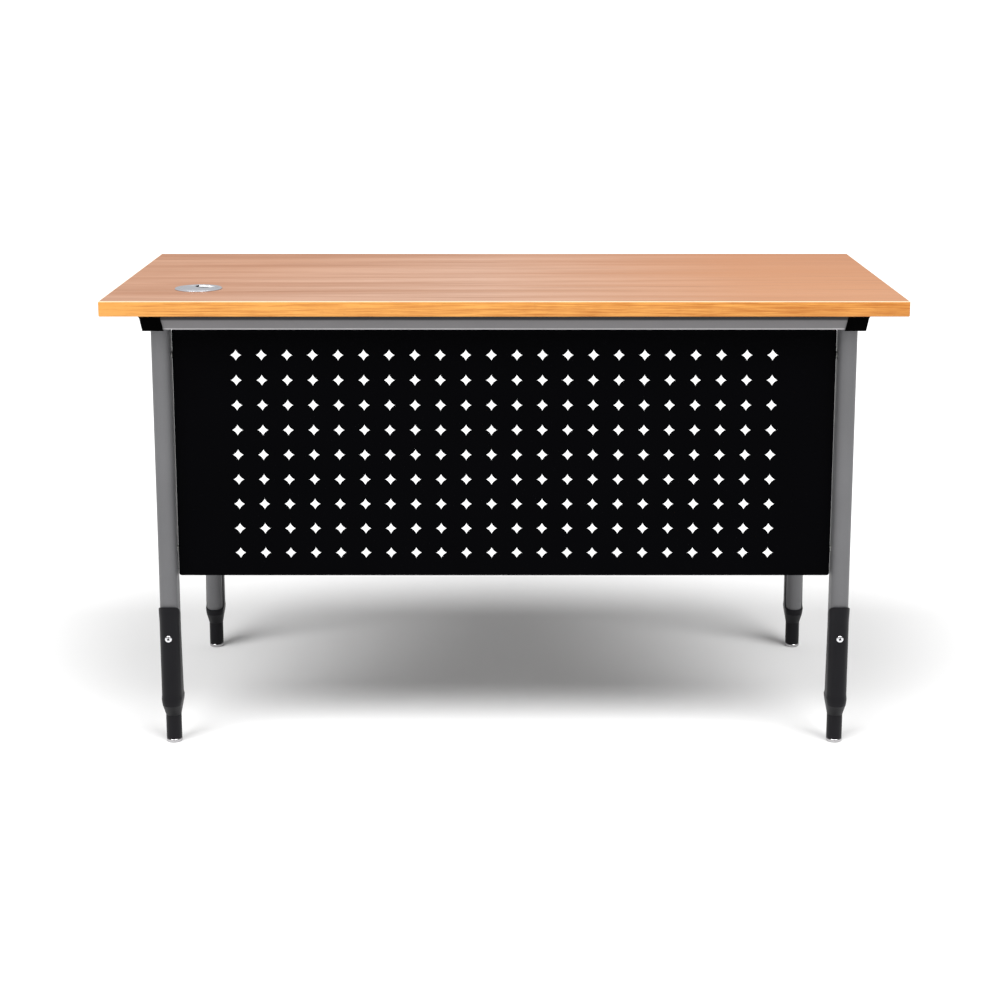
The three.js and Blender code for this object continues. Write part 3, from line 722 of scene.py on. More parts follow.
def oval_stack(sections, segments):
    """A skin round a stack of flat ovals, each with its height, half width and half depth."""
    bm = bmesh.new()
    bmesh.ops.create_circle(bm, cap_ends=True, radius=1, segments=segments)
    bmesh.ops.rotate(bm, matrix=Matrix.Rotation(math.pi / segments, 3, "Z"), verts=bm.verts)
    unit = bm.verts.layers.float_vector.new("unit")
    for vert in bm.verts:
        vert[unit] = vert.co.copy()
    face = bm.faces[:][0]
    for index, (height, side, nose) in enumerate(sections):
        if index:
            grown = bmesh.ops.extrude_face_region(bm, geom=[face])["geom"]
            face = only(bmesh.types.BMFace, grown)[0]
        for vert in face.verts:
            x, y, _ = vert[unit]
            vert.co = (x * side, y * side + math.copysign(nose - side, y), height)
    bm.verts.layers.float_vector.remove(unit)
    join_up(bm)
    return bm


def flat_outline(points, roundings, along, low, high, steps=6):
    """A prism along an axis of a polygon whose corners are rounded by their own radii."""
    bm = bmesh.new()
    corners = [bm.verts.new((first, second, 0)) for first, second in points]
    bm.faces.new(corners)
    for vert, radius in zip(corners, roundings):
        if radius:
            bmesh.ops.bevel(
                bm, geom=[vert], offset=radius, offset_type="OFFSET", affect="VERTICES",
                segments=steps, profile=0.5, material=-1,
            )
    grown = bmesh.ops.extrude_face_region(bm, geom=bm.faces[:])["geom"]
    bmesh.ops.translate(bm, vec=(0, 0, high - low), verts=only(bmesh.types.BMVert, grown))
    move(bm, (0, 0, low))
    if along == "X":
        turn = Matrix(((0, 0, 1), (1, 0, 0), (0, 1, 0)))
    elif along == "Y":
        turn = Matrix(((1, 0, 0), (0, 0, 1), (0, 1, 0)))
    else:
        turn = Matrix.Identity(3)
    place_mesh(bm, turn.to_4x4())
    join_up(bm)
    return bm


# ---- Pieces ----


class DESK_OT_top_board(bpy.types.Operator):
    """Make the laminated top board with its grommet hole"""

    bl_idname = "desk.top_board"
    bl_label = "Top Board"

    def execute(self, context):
        sizes = context.scene.desk_top
        low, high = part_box("top_board")
        hole = box_middle("grommet_liner")
        bm = bmesh.new()
        bmesh.ops.create_grid(bm, x_segments=1, y_segments=1, size=0.5)
        bmesh.ops.delete(bm, geom=bm.faces[:], context="FACES_ONLY")
        size = high - low
        bmesh.ops.scale(bm, vec=(size.x, size.y, 1), verts=bm.verts)
        ring = bmesh.ops.create_circle(bm, radius=sizes.hole_radius, segments=sizes.hole_steps)["verts"]
        bmesh.ops.translate(bm, vec=(hole.x, hole.y, 0), verts=ring)
        bmesh.ops.triangle_fill(bm, use_beauty=True, edges=bm.edges[:])
        move(bm, (0, 0, low.z))
        grown = bmesh.ops.extrude_face_region(bm, geom=bm.faces[:])["geom"]
        bmesh.ops.translate(bm, vec=(0, 0, size.z), verts=only(bmesh.types.BMVert, grown))
        join_up(bm)
        for face in bm.faces:
            face.material_index = 1 if face.normal.z < -0.5 else 0
        add_piece(bm, "board", "beech_laminate", "frame", "laminate", ["top_board"], "backing_sheet")
        return {"FINISHED"}


class DESK_OT_edging(bpy.types.Operator):
    """Make the four strips of edging round the top"""

    bl_idname = "desk.edging"
    bl_label = "Edging"

    def execute(self, context):
        sizes = context.scene.desk_top
        for side in ("front", "rear", "left", "right"):
            node = f"edge_band_{side}"
            low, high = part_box(node)
            bm = block(low, high)
            axis, outer = {
                "front": (1, low.y),
                "rear": (1, high.y),
                "left": (0, low.x),
                "right": (0, high.x),
            }[side]
            rounded = [e for e in bm.edges if all(abs(v.co[axis] - outer) < NEAR for v in e.verts)]
            running = [e for e in bm.edges if abs(e.verts[0].co.y - e.verts[1].co.y) > CLOSE]
            if axis == 1:
                rounded += running
            else:
                rounded = [e for e in rounded if e in running]
            bevel_edges(bm, rounded, sizes.arris_radius, sizes.arris_steps)
            join_up(bm)
            for face in bm.faces:
                # The faces of the rounded upper arris take material 1, a painted highlight.
                face.material_index = 1 if 0.3 < face.normal.z < 0.99 else 0
            material = "edging_along" if axis == 1 else "edging_across"
            add_piece(bm, f"edging_{side}", material, "frame", "edge_tape", [node], "edging_trim")
        return {"FINISHED"}


class DESK_OT_legs(bpy.types.Operator):
    """Make the four oval tube legs with the weld at their tops"""

    bl_idname = "desk.legs"
    bl_label = "Legs"

    def execute(self, context):
        sizes = context.scene.desk_frame
        for corner in CORNERS:
            node = f"leg_{corner}"
            low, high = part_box(node)
            half = (high - low) / 2
            bead = high.z - sizes.bead_height
            grow = sizes.bead_growth
            outer = [
                (low.z, half.x, half.y),
                (bead, half.x, half.y),
                (bead + sizes.bead_height * 0.35, half.x + grow * 0.55, half.y + grow * 0.55),
                (bead + sizes.bead_height * 0.75, half.x + grow, half.y + grow),
                (high.z, half.x + grow * 0.9, half.y + grow * 0.9),
            ]
            wall = sizes.tube_wall
            inner = [(z, half.x - wall, half.y - wall) for z in (low.z - PAST, high.z + PAST)]
            bm = oval_stack(outer, sizes.oval_steps)
            bm = carved(bm, "DIFFERENCE", oval_stack(inner, sizes.oval_steps))
            middle = (low + high) / 2
            move(bm, (middle.x, middle.y, 0))
            add_piece(bm, f"tube_{node}", "grey_coat", "frame", "grey_paint", [node])
        return {"FINISHED"}


class DESK_OT_tubes(bpy.types.Operator):
    """Make the beams and rails, with the holes for the top's screws"""

    bl_idname = "desk.tubes"
    bl_label = "Beams and Rails"

    def execute(self, context):
        sizes = context.scene.desk_frame
        screws = [box_middle(name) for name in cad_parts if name.startswith("top_screw_")]
        for node in ("beam_front", "beam_rear", "side_rail_left", "side_rail_right", "centre_rail"):
            low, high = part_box(node)
            axis = "X" if high.x - low.x > high.y - low.y else "Y"
            start, stop = (low.x, high.x) if axis == "X" else (low.y, high.y)
            side_low, side_high = (low.y, high.y) if axis == "X" else (low.x, high.x)
            wall = sizes.tube_wall
            skins = []
            for inset, past in ((0, 0), (wall, PAST)):
                section = [
                    (side_low + inset, low.z + inset),
                    (side_high - inset, low.z + inset),
                    (side_high - inset, high.z - inset),
                    (side_low + inset, high.z - inset),
                ]
                radii = (max(sizes.tube_corner - inset, 0.5 * MM),) * 4
                skins.append(flat_outline(section, radii, axis, start - past, stop + past))
            tools = [skins[1]]
            for spot in screws:
                if low.x < spot.x < high.x and low.y < spot.y < high.y:
                    middle = (low.z + high.z) / 2
                    access = rod(sizes.access_radius, low.z - PAST, middle, segments=40)
                    passage = rod(PASSAGE_RADIUS, middle - 1 * MM, high.z + PAST, segments=24)
                    for tool in (access, passage):
                        move(tool, (spot.x, spot.y, 0))
                        tools.append(tool)
            bm = carved(skins[0], "DIFFERENCE", *tools)
            add_piece(bm, f"tube_{node}", "beam_coat", "frame", "grey_paint", [node])
        return {"FINISHED"}


class DESK_OT_end_caps(bpy.types.Operator):
    """Make the four moulded caps on the ends of the long beams"""

    bl_idname = "desk.end_caps"
    bl_label = "End Caps"

    def execute(self, context):
        sizes = context.scene.desk_frame
        for corner in CORNERS:
            node = f"beam_end_cap_{corner}"
            low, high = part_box(node)
            beam_low, beam_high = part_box(f"beam_{corner.split('_')[0]}")
            side = 1 if "right" in corner else -1
            if side > 0:
                tip, grip = high.x, low.x + sizes.cap_slant
            else:
                tip, grip = -low.x, -high.x + sizes.cap_slant
            lip = sizes.cap_lip
            lip_base = high.z - sizes.cap_lip_height
            lean = sizes.cap_slant / (high.z - low.z)
            foot = lip_base - sizes.cap_lip_height
            outline = [
                (grip - sizes.cap_slant, low.z),
                (tip - lip - sizes.cap_slant, low.z),
                (tip - lip - (high.z - foot) * lean, foot),
                (tip, lip_base),
                (tip, high.z),
                (grip, high.z),
            ]
            bm = flat_outline(outline, (0, 0, 3 * MM, 0, 0, 0), "Y", low.y, high.y)
            corners = [
                (grip - sizes.cap_slant - FAR, low.y),
                (tip, low.y),
                (tip, high.y),
                (grip - sizes.cap_slant - FAR, high.y),
            ]
            plan = flat_outline(
                corners, (0, sizes.cap_corner, sizes.cap_corner, 0), "Z", low.z - PAST, high.z + PAST, 12
            )
            bm = carved(bm, "INTERSECT", plan)
            tidy_flats(bm)
            rims = [
                e for e in sharp_edges(bm)
                if min(v.co.x for v in e.verts) > grip and max(v.co.z for v in e.verts) < high.z - CLOSE
            ]
            bevel_edges(bm, rims, sizes.cap_rounding, 3)
            steel = block(
                (grip - FAR, beam_low.y - CAP_FIT, low.z + sizes.cap_wall),
                (beam_high.x + CAP_FIT, beam_high.y + CAP_FIT, high.z + PAST),
            )
            leg_low, leg_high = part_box(f"leg_{corner}")
            half_x = (leg_high.x - leg_low.x) / 2 + CAP_FIT
            half_y = (leg_high.y - leg_low.y) / 2 + CAP_FIT
            leg = oval_stack([(z, half_x, half_y) for z in (low.z - PAST, high.z)], sizes.oval_steps)
            leg_x = abs(leg_low.x + leg_high.x) / 2
            move(leg, (leg_x, (leg_low.y + leg_high.y) / 2, 0))
            rail_low, rail_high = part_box("side_rail_right")
            middle_y = (low.y + high.y) / 2
            rail = block(
                (rail_low.x - CAP_FIT, min(0, middle_y), low.z - PAST),
                (rail_high.x + CAP_FIT, max(0, middle_y), high.z + PAST),
            )
            bm = carved(bm, "DIFFERENCE", steel, leg, rail)
            if side < 0:
                place_mesh(bm, Matrix.Scale(-1, 4, (1, 0, 0)))
                bmesh.ops.reverse_faces(bm, faces=bm.faces)
            add_piece(bm, f"cap_{corner}", "cap_plastic", "frame", "black_plastic", [node])
        return {"FINISHED"}


def sleeve_shape(sizes, bottom, top, oval_steps, leg_half):
    """One sleeve with its nose towards -Y, standing on the Z axis."""

    def step(value, low, high):
        return min(max((value - low) / (high - low), 0.0), 1.0)

    def eased(value, low, high):
        portion = step(value, low, high)
        return portion * portion * (3 - 2 * portion)

    # The sections lie close together where the sleeve swells.
    heights = [bottom, bottom + 1 * MM, sizes.neck_top - 6 * MM]
    heights += [sizes.neck_top + (sizes.shoulder - sizes.neck_top) * k / 6 for k in range(7)]
    heights += [sizes.shoulder + offset * MM for offset in (4, 8, 12, 16, 24)]
    heights += [top - offset * MM for offset in (36, 30, 25, 20, 15, 10, 6, 3, 0)]
    shoulder_peak, shoulder_end = sizes.shoulder - 2 * MM, sizes.shoulder + 9 * MM
    rim_start, rim_full = top - 32 * MM, top - 8 * MM
    sections = []
    for height in heights:
        side = sizes.neck_radius
        side += (sizes.side_reach - sizes.neck_radius) * step(height, sizes.neck_top, sizes.shoulder)
        nose = sizes.neck_radius + 0.3 * MM
        nose += (sizes.nose_reach - nose) * step(height, sizes.neck_top, legs_foot() - 0.3 * MM)
        shoulder = eased(height, sizes.neck_top, shoulder_peak)
        shoulder *= 1 - eased(height, shoulder_peak, shoulder_end)
        rim = sizes.rim * max(shoulder, eased(height, rim_start, rim_full))
        sections.append((height, side + rim, max(nose, side) + rim))
    bm = oval_stack(sections, oval_steps)
    # How far the trimming shape and the cutting rods reach to each side, well past the sleeve.
    reach = 0.05
    nose = sizes.nose_reach
    kept = flat_outline(
        [
            (-reach, -PAST),
            (reach, -PAST),
            (reach, sizes.socket_nose_rim),
            (nose - 3 * MM, sizes.socket_nose_rim),
            (sizes.socket_edge, sizes.socket_rim),
            (0, sizes.shell_side_top),
            (-nose + 3 * MM, top - 0.01 * MM),
            (-reach, top - 0.01 * MM),
        ],
        (0, 0, 0, 2 * MM, 6 * MM, 3 * MM, 6 * MM, 0),
        "X",
        -reach,
        reach,
    )
    bm = carved(bm, "INTERSECT", kept)
    space = oval_stack(
        [
            (legs_foot(), leg_half.x + sizes.fit, leg_half.y + sizes.fit),
            (top + PAST, leg_half.x + sizes.fit, leg_half.y + sizes.fit),
        ],
        oval_steps,
    )
    bm = carved(bm, "DIFFERENCE", space)
    tidy_flats(bm)
    corner = math.radians(40)
    above = sizes.socket_nose_rim - 1 * MM
    rims = [e for e in sharp_edges(bm, corner) if min(v.co.z for v in e.verts) > above]
    bevel_edges(bm, rims, sizes.edge_rounding, 2)
    foot = 0.5 * MM
    low = [e for e in sharp_edges(bm, corner) if max(v.co.z for v in e.verts) < bottom + foot]
    bevel_edges(bm, low, foot, 2)
    screw = box_middle("sleeve_screw_front_left")
    seat = nose - sizes.recess_depth
    recess = rod(sizes.recess_radius, -reach, -seat, "Y")
    move(recess, (0, 0, screw.z))
    hole = rod(CLEARANCE_RADIUS, -reach, 0, "Y", 24)
    move(hole, (0, 0, screw.z))
    stud = rod(sizes.stud_radius + 0.8 * MM, -PAST, legs_foot() + PAST, segments=32)
    nut_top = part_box("glide_nut_front_left")[1].z + 0.3 * MM
    pocket_radius = box_size("glide_nut_front_left").x / math.sqrt(3) + 0.4 * MM
    pocket = rod(pocket_radius, -PAST, nut_top, segments=6)
    return carved(bm, "DIFFERENCE", recess, hole, stud, pocket)


def legs_foot():
    """Height of the legs' cut lower ends."""
    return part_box("leg_front_left")[0].z


class DESK_OT_foot_sleeves(bpy.types.Operator):
    """Make the four foot sleeves, each with its nose outwards"""

    bl_idname = "desk.foot_sleeves"
    bl_label = "Foot Sleeves"

    def execute(self, context):
        sizes = context.scene.desk_foot
        low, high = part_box("foot_sleeve_front_left")
        leg_half = box_size("leg_front_left") / 2
        shape = sleeve_shape(sizes, low.z, high.z, context.scene.desk_frame.oval_steps, leg_half)
        for corner in CORNERS:
            leg = box_middle(f"leg_{corner}")
            turn = Matrix.Rotation(math.pi if "rear" in corner else 0.0, 4, "Z")
            bm = copy_mesh(shape, Matrix.Translation((leg.x, leg.y, 0)) @ turn)
            node = f"foot_sleeve_{corner}"
            add_piece(bm, f"sleeve_{corner}", "sleeve_plastic", "frame", "black_plastic", [node])
        shape.free()
        return {"FINISHED"}


class DESK_OT_glides(bpy.types.Operator):
    """Make the four levelling glides"""

    bl_idname = "desk.glides"
    bl_label = "Glides"

    def execute(self, context):
        sizes = context.scene.desk_foot
        low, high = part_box("glide_front_left")
        radius = (high.x - low.x) / 2
        rounding = sizes.glide_rounding
        height = sizes.glide_height
        profile = [(0, low.z), (radius - rounding, low.z)]
        profile += arc((radius - rounding, low.z + rounding), rounding, -90, 0, 7)[1:]
        profile += arc((radius - rounding, low.z + height - rounding), rounding, 0, 90, 7)
        profile += [(sizes.stud_radius + 2 * MM, height - 0.4 * MM), (sizes.stud_radius, height + 0.3 * MM)]
        turn = height + 1.5 * MM
        while turn < high.z - 2 * MM:
            profile += [
                (sizes.stud_radius, turn),
                (sizes.stud_radius - 0.6 * MM, turn + sizes.thread_pitch / 2),
            ]
            turn += sizes.thread_pitch
        profile += [(sizes.stud_radius, high.z - 1 * MM), (sizes.stud_radius - 1 * MM, high.z), (0, high.z)]
        shape = lathe(profile, 56)
        for corner in CORNERS:
            node = f"glide_{corner}"
            leg = box_middle(f"leg_{corner}")
            bm = copy_mesh(shape, Matrix.Translation((leg.x, leg.y, 0)))
            add_piece(bm, f"foot_{node}", "nickel_plating", node, "chrome", [node])
        shape.free()
        return {"FINISHED"}


def pan_screw(radius, reach, head_radius, head_height):
    """A cross-recess screw that points to +Z, with the underside of its head at the origin."""

    def dome(level):
        """Height of the domed head, from how level its surface is there."""
        return -head_height * (HEAD_EDGE + (1 - HEAD_EDGE) * level ** HEAD_CURVE)

    profile = [(0, -head_height)]
    steps = 8
    for step in range(1, steps + 1):
        turn = math.radians(90 * step / steps)
        profile.append((head_radius * math.sin(turn), dome(math.cos(turn))))
    chamfer = 0.12 * MM
    profile += [(head_radius, -chamfer), (head_radius - chamfer, 0), (radius, 0)]
    profile += [(radius, reach - 1 * MM), (radius * 0.7, reach), (0, reach)]
    bm = lathe(profile, 48)
    wide, thin, centre = head_radius * 0.56, head_radius * 0.15, head_radius * 0.27
    floor = -head_height * HEAD_EDGE
    over = -head_height - 1 * MM
    bm = carved(bm, "DIFFERENCE", rod(centre, over, floor, segments=20))
    for across, along in ((wide, thin), (thin, wide)):
        slot = block((-across, -along, over), (across, along, floor))
        for vert in slot.verts:
            if vert.co.z > floor - NEAR:
                vert.co.x *= ARM_TAPER if across > along else ARM_SIDE_TAPER
                vert.co.y *= ARM_TAPER if along > across else ARM_SIDE_TAPER
        bm = carved(bm, "DIFFERENCE", slot)
    # Faces inside the cross recess take material 1, a painted shade.
    for face in bm.faces:
        middle = face.calc_center_median()
        out = min(math.hypot(middle.x, middle.y) / head_radius, 1.0)
        below_dome = dome(math.sqrt(1 - out * out)) + 0.12 * MM
        inside = below_dome < middle.z < floor + 0.05 * MM and out < 0.6
        face.material_index = 1 if inside else 0
    return bm


class DESK_OT_screws(bpy.types.Operator):
    """Make the screws of the sleeves, the top and the panel, and the panel's spacers"""

    bl_idname = "desk.screws"
    bl_label = "Screws"

    def execute(self, context):
        for corner in CORNERS:
            node = f"sleeve_screw_{corner}"
            low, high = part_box(node)
            head = (high.x - low.x) / 2
            front = "front" in corner
            twist = Matrix.Rotation(SLEEVE_SCREW_TURN, 4, "Z")
            shape = pan_screw(SLEEVE_SHANK, (high.y - low.y) - SLEEVE_HEAD, head, SLEEVE_HEAD)
            turn = Matrix.Rotation(-math.pi / 2 if front else math.pi / 2, 4, "X")
            start = low.y + SLEEVE_HEAD if front else high.y - SLEEVE_HEAD
            place = Matrix.Translation(((low.x + high.x) / 2, start, (low.z + high.z) / 2))
            place_mesh(shape, place @ turn @ twist)
            add_piece(shape, f"bolt_{node}", "bright_chrome", "frame", "chrome", [node], "screw_recess")
        shape = pan_screw(TOP_SHANK, box_size("top_screw_left").z - TOP_HEAD, TOP_HEAD_RADIUS, TOP_HEAD)
        for node in sorted(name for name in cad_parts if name.startswith("top_screw_")):
            middle = box_middle(node)
            place = Matrix.Translation((middle.x, middle.y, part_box(node)[0].z + TOP_HEAD))
            bolt = copy_mesh(shape, place)
            add_piece(bolt, f"bolt_{node}", "zinc_plating", "frame", "zinc_plate", [node], "screw_recess")
        shape.free()
        for level in ("upper", "lower"):
            for side in ("left", "right"):
                node = f"panel_screw_{level}_{side}"
                low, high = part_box(node)
                head = (high.z - low.z) / 2
                shape = pan_screw(PANEL_SHANK, (high.x - low.x) - PANEL_HEAD, head, PANEL_HEAD)
                turn = Matrix.Rotation(-math.pi / 2 if side == "left" else math.pi / 2, 4, "Y")
                start = high.x - PANEL_HEAD if side == "left" else low.x + PANEL_HEAD
                place = Matrix.Translation((start, (low.y + high.y) / 2, (low.z + high.z) / 2))
                place_mesh(shape, place @ turn)
                add_piece(
                    shape, f"bolt_{node}", "zinc_plating", "frame", "zinc_plate", [node], "screw_recess"
                )
                node = f"panel_spacer_{level}_{side}"
                low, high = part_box(node)
                half = (high.x - low.x) / 2
                outer = (high.z - low.z) / 2
                chamfer = 0.3 * MM
                profile = [
                    (CLEARANCE_RADIUS, -half), (outer - chamfer, -half), (outer, -half + chamfer),
                    (outer, half - chamfer), (outer - chamfer, half), (CLEARANCE_RADIUS, half),
                    (CLEARANCE_RADIUS, -half),
                ]
                ring = lathe(profile, 40)
                turn = Matrix.Rotation(math.pi / 2, 4, "Y")
                place_mesh(ring, Matrix.Translation((low + high) / 2) @ turn)
                add_piece(ring, f"ring_{node}", "zinc_plating", "frame", "zinc_plate", [node])
        return {"FINISHED"}


class DESK_OT_modesty_panel(bpy.types.Operator):
    """Make the folded steel panel with its star-shaped holes"""

    bl_idname = "desk.modesty_panel"
    bl_label = "Modesty Panel"

    def star(self, sizes):
        """One square of the pattern in the XZ plane, with a hole in its middle."""
        bm = bmesh.new()
        steps = sizes.side_steps
        count = steps * 4
        power = math.log(sizes.star_waist) / math.log(math.sqrt(0.5))
        inner = bmesh.ops.create_circle(bm, radius=1, segments=count)["verts"]
        outer = bmesh.ops.create_circle(bm, radius=1, segments=count)["verts"]
        half = sizes.pitch / 2
        for vert in inner:
            x, z = vert.co.x, vert.co.y
            reach = [math.copysign(abs(v) ** power, v) * sizes.star_radius for v in (x, z)]
            vert.co = (reach[0], 0, reach[1])
        for vert in outer:
            x, z = vert.co.x, vert.co.y
            turn = math.atan2(z, x)
            nearest = round(turn / (math.pi / 2)) * math.pi / 2
            slide = (turn - nearest) / (math.pi / 4) * half
            cosine, sine = math.cos(nearest), math.sin(nearest)
            vert.co = (cosine * half - sine * slide, 0, sine * half + cosine * slide)
        bmesh.ops.bridge_loops(bm, edges=bm.edges[:])
        return bm

    def execute(self, context):
        sizes = context.scene.desk_panel
        low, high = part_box("modesty_panel")
        cell = self.star(sizes)
        bm = bmesh.new()
        mesh = bpy.data.meshes.new("cell")
        cell.to_mesh(mesh)
        cell.free()
        for row in range(sizes.rows):
            for column in range(sizes.columns):
                before = len(bm.verts)
                bm.from_mesh(mesh)
                bm.verts.ensure_lookup_table()
                x = (column - (sizes.columns - 1) / 2) * sizes.pitch
                z = high.z - sizes.top_margin - row * sizes.pitch
                bmesh.ops.translate(bm, vec=(x, low.y, z), verts=bm.verts[before:])
        bpy.data.meshes.remove(mesh)
        bmesh.ops.remove_doubles(bm, verts=bm.verts, dist=NEAR)
        edge_x = sizes.columns * sizes.pitch / 2
        top_z = high.z - sizes.top_margin + sizes.pitch / 2
        bottom_z = top_z - sizes.rows * sizes.pitch
        rim = [
            e for e in bm.edges
            if e.is_boundary and (
                all(abs(abs(v.co.x) - edge_x) < CLOSE for v in e.verts)
                or all(abs(v.co.z - top_z) < CLOSE for v in e.verts)
                or all(abs(v.co.z - bottom_z) < CLOSE for v in e.verts)
            )
        ]
        sides = [("x", -1, -edge_x), ("x", 1, edge_x), ("z", -1, bottom_z), ("z", 1, top_z)]
        bend = sizes.bend_radius
        flat = {
            ("x", -1): low.x + bend,
            ("x", 1): high.x - bend,
            ("z", -1): low.z + bend,
            ("z", 1): high.z - bend,
        }
        grown = bmesh.ops.extrude_edge_only(bm, edges=rim)["geom"]
        ring = only(bmesh.types.BMVert, grown)
        outward = {}
        for vert in ring:
            ways = [(axis, way) for axis, way, at in sides if abs(getattr(vert.co, axis) - at) < CLOSE]
            for axis, way in ways:
                setattr(vert.co, axis, flat[(axis, way)])
            outward[vert] = ways
        steps = sizes.bend_steps
        stages = []
        for k in range(1, steps + 1):
            turn = math.radians(90 * k / steps)
            stages.append((bend * math.sin(turn), low.y + bend * (1 - math.cos(turn))))
        stages.append((bend, high.y))
        base = {v: v.co.copy() for v in ring}
        edges = only(bmesh.types.BMEdge, grown)
        edges = [e for e in edges if e.verts[0] in base and e.verts[1] in base]
        for out, y in stages:
            made = bmesh.ops.extrude_edge_only(bm, edges=edges)["geom"]
            fresh = only(bmesh.types.BMVert, made)
            keys = {tuple(round(c, 7) for c in v.co): v for v in base}
            moved = {}
            for vert in fresh:
                old = keys[tuple(round(c, 7) for c in vert.co)]
                place = base[old].copy()
                for axis, way in outward[old]:
                    setattr(place, axis, flat[(axis, way)] + way * out)
                place.y = y
                vert.co = place
                moved[vert] = base[old]
                outward[vert] = outward[old]
            edges = only(bmesh.types.BMEdge, made)
            base = moved
            edges = [e for e in edges if e.verts[0] in base and e.verts[1] in base]
        corner = [
            e for e in bm.edges
            if all(len(outward.get(v, ())) == 2 for v in e.verts) and not e.is_boundary
            and abs(e.verts[0].co.y - e.verts[1].co.y) > CLOSE
        ]
        bevel_edges(bm, corner, sizes.corner_radius, 4)
        bmesh.ops.recalc_face_normals(bm, faces=bm.faces)
        front = max(bm.faces, key=lambda f: f.calc_area())
        if front.normal.y > 0:
            bmesh.ops.reverse_faces(bm, faces=bm.faces)
        piece = add_piece(bm, "panel", "black_coat", "frame", "black_paint", ["modesty_panel"])
        wall = piece.modifiers.new("sheet", "SOLIDIFY")
        wall.thickness = sizes.sheet
        wall.offset = -1
        wall.use_even_offset = True
        return {"FINISHED"}


class DESK_OT_grommet(bpy.types.Operator):
    """Make the liner of the cable grommet and its turning lid"""

    bl_idname = "desk.grommet"
    bl_label = "Cable Grommet"

    def execute(self, context):
        sizes = context.scene.desk_grommet
        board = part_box("top_board")[1].z
        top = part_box("grommet_liner")[1].z
        middle = box_middle("grommet_liner")
        place = Matrix.Translation((middle.x, middle.y, 0))
        flange_low = top - sizes.flange_height
        seat = sizes.lid_radius + sizes.lid_gap
        lid_bottom = top - sizes.lid_thickness
        ledge_top = lid_bottom - 0.3 * MM
        bore = sizes.liner_radius - sizes.liner_wall
        foot = board - sizes.liner_depth
        profile = [(bore, foot), (sizes.liner_radius - 0.4 * MM, foot), (sizes.liner_radius, foot + 0.4 * MM)]
        profile += [(sizes.liner_radius, flange_low), (sizes.flange_radius - 0.2 * MM, flange_low)]
        profile += [(sizes.flange_radius, flange_low + 0.2 * MM)]
        rounding = 1.3 * MM
        profile += arc((sizes.flange_radius - rounding, top - 1.2 * MM), rounding, 10, 68, 5)
        profile += [(sizes.flange_radius - 2.2 * MM, top), (seat + 0.3 * MM, top), (seat, top - 0.3 * MM)]
        profile += [(seat, ledge_top), (sizes.ledge_radius, ledge_top)]
        profile += [(sizes.ledge_radius, ledge_top - 2 * MM), (bore, ledge_top - 4 * MM), (bore, foot)]
        profile = [(radius, min(height, top)) for radius, height in profile]
        liner = lathe(profile, 96)
        # Faces of the bore below the ledge take material 1, a painted shade.
        for face in liner.faces:
            spot = face.calc_center_median()
            out = math.hypot(spot.x, spot.y)
            inner = out < sizes.liner_radius - 0.5 * MM and spot.z < ledge_top - 0.01 * MM
            # Faces of the lid's seat take material 2, a painted highlight.
            seating = not inner and out < seat + 0.05 * MM
            face.material_index = 1 if inner else 2 if seating else 0
        place_mesh(liner, place)
        add_piece(
            liner, "grommet_ring", "silver_moulding", "frame", "silver_plastic", ["grommet_liner"],
            "grommet_inside", "grommet_seat",
        )

        skirt = sizes.ledge_radius - sizes.lid_gap
        skirt_low = lid_bottom - sizes.skirt_depth
        edge = sizes.lid_radius
        skirt_inside = skirt - 1.5 * MM
        rounding = 0.6 * MM
        groove = top - 0.35 * MM
        profile = [(0, lid_bottom), (skirt_inside, lid_bottom), (skirt_inside, skirt_low)]
        profile += [(skirt, skirt_low), (skirt, lid_bottom), (edge, lid_bottom)]
        profile += arc((edge - rounding, top - rounding), rounding, 0, 90, 4)
        profile += [(edge - 2.4 * MM, top), (edge - 2.8 * MM, groove), (edge - 3.4 * MM, groove)]
        profile += [(edge - 3.8 * MM, top), (0, top)]
        lid = lathe(profile, 96)
        notch = rod(sizes.notch_radius, skirt_low - PAST, top + PAST, segments=72)
        move(notch, (sizes.notch_across, sizes.notch_along, 0))
        lid = carved(lid, "DIFFERENCE", notch)
        # Faces in the notch and under the lid take material 1, a painted shade.
        for face in lid.faces:
            spot = face.calc_center_median()
            out = math.hypot(spot.x - sizes.notch_across, spot.y - sizes.notch_along)
            shaded = spot.z < top - 0.7 * MM and out < sizes.notch_radius + 0.1 * MM
            face.material_index = 1 if shaded or face.normal.z < -0.9 else 0
        place_mesh(lid, place)
        add_piece(
            lid, "grommet_lid", "silver_moulding", "grommet_cap", "silver_plastic", ["grommet_cap"],
            "grommet_inside",
        )
        return {"FINISHED"}


class DESK_OT_carried_over(bpy.types.Operator):
    """Give the frame's own nuts their finish"""

    bl_idname = "desk.carried_over"
    bl_label = "Nuts"

    def execute(self, context):
        for name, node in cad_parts.items():
            if node.hide_render:
                continue
            if not name.startswith("glide_nut_"):
                raise RuntimeError(f"{name} has no finish")
            node.data.materials.clear()
            node.data.materials.append(finish("zinc_plating"))
        return {"FINISHED"}


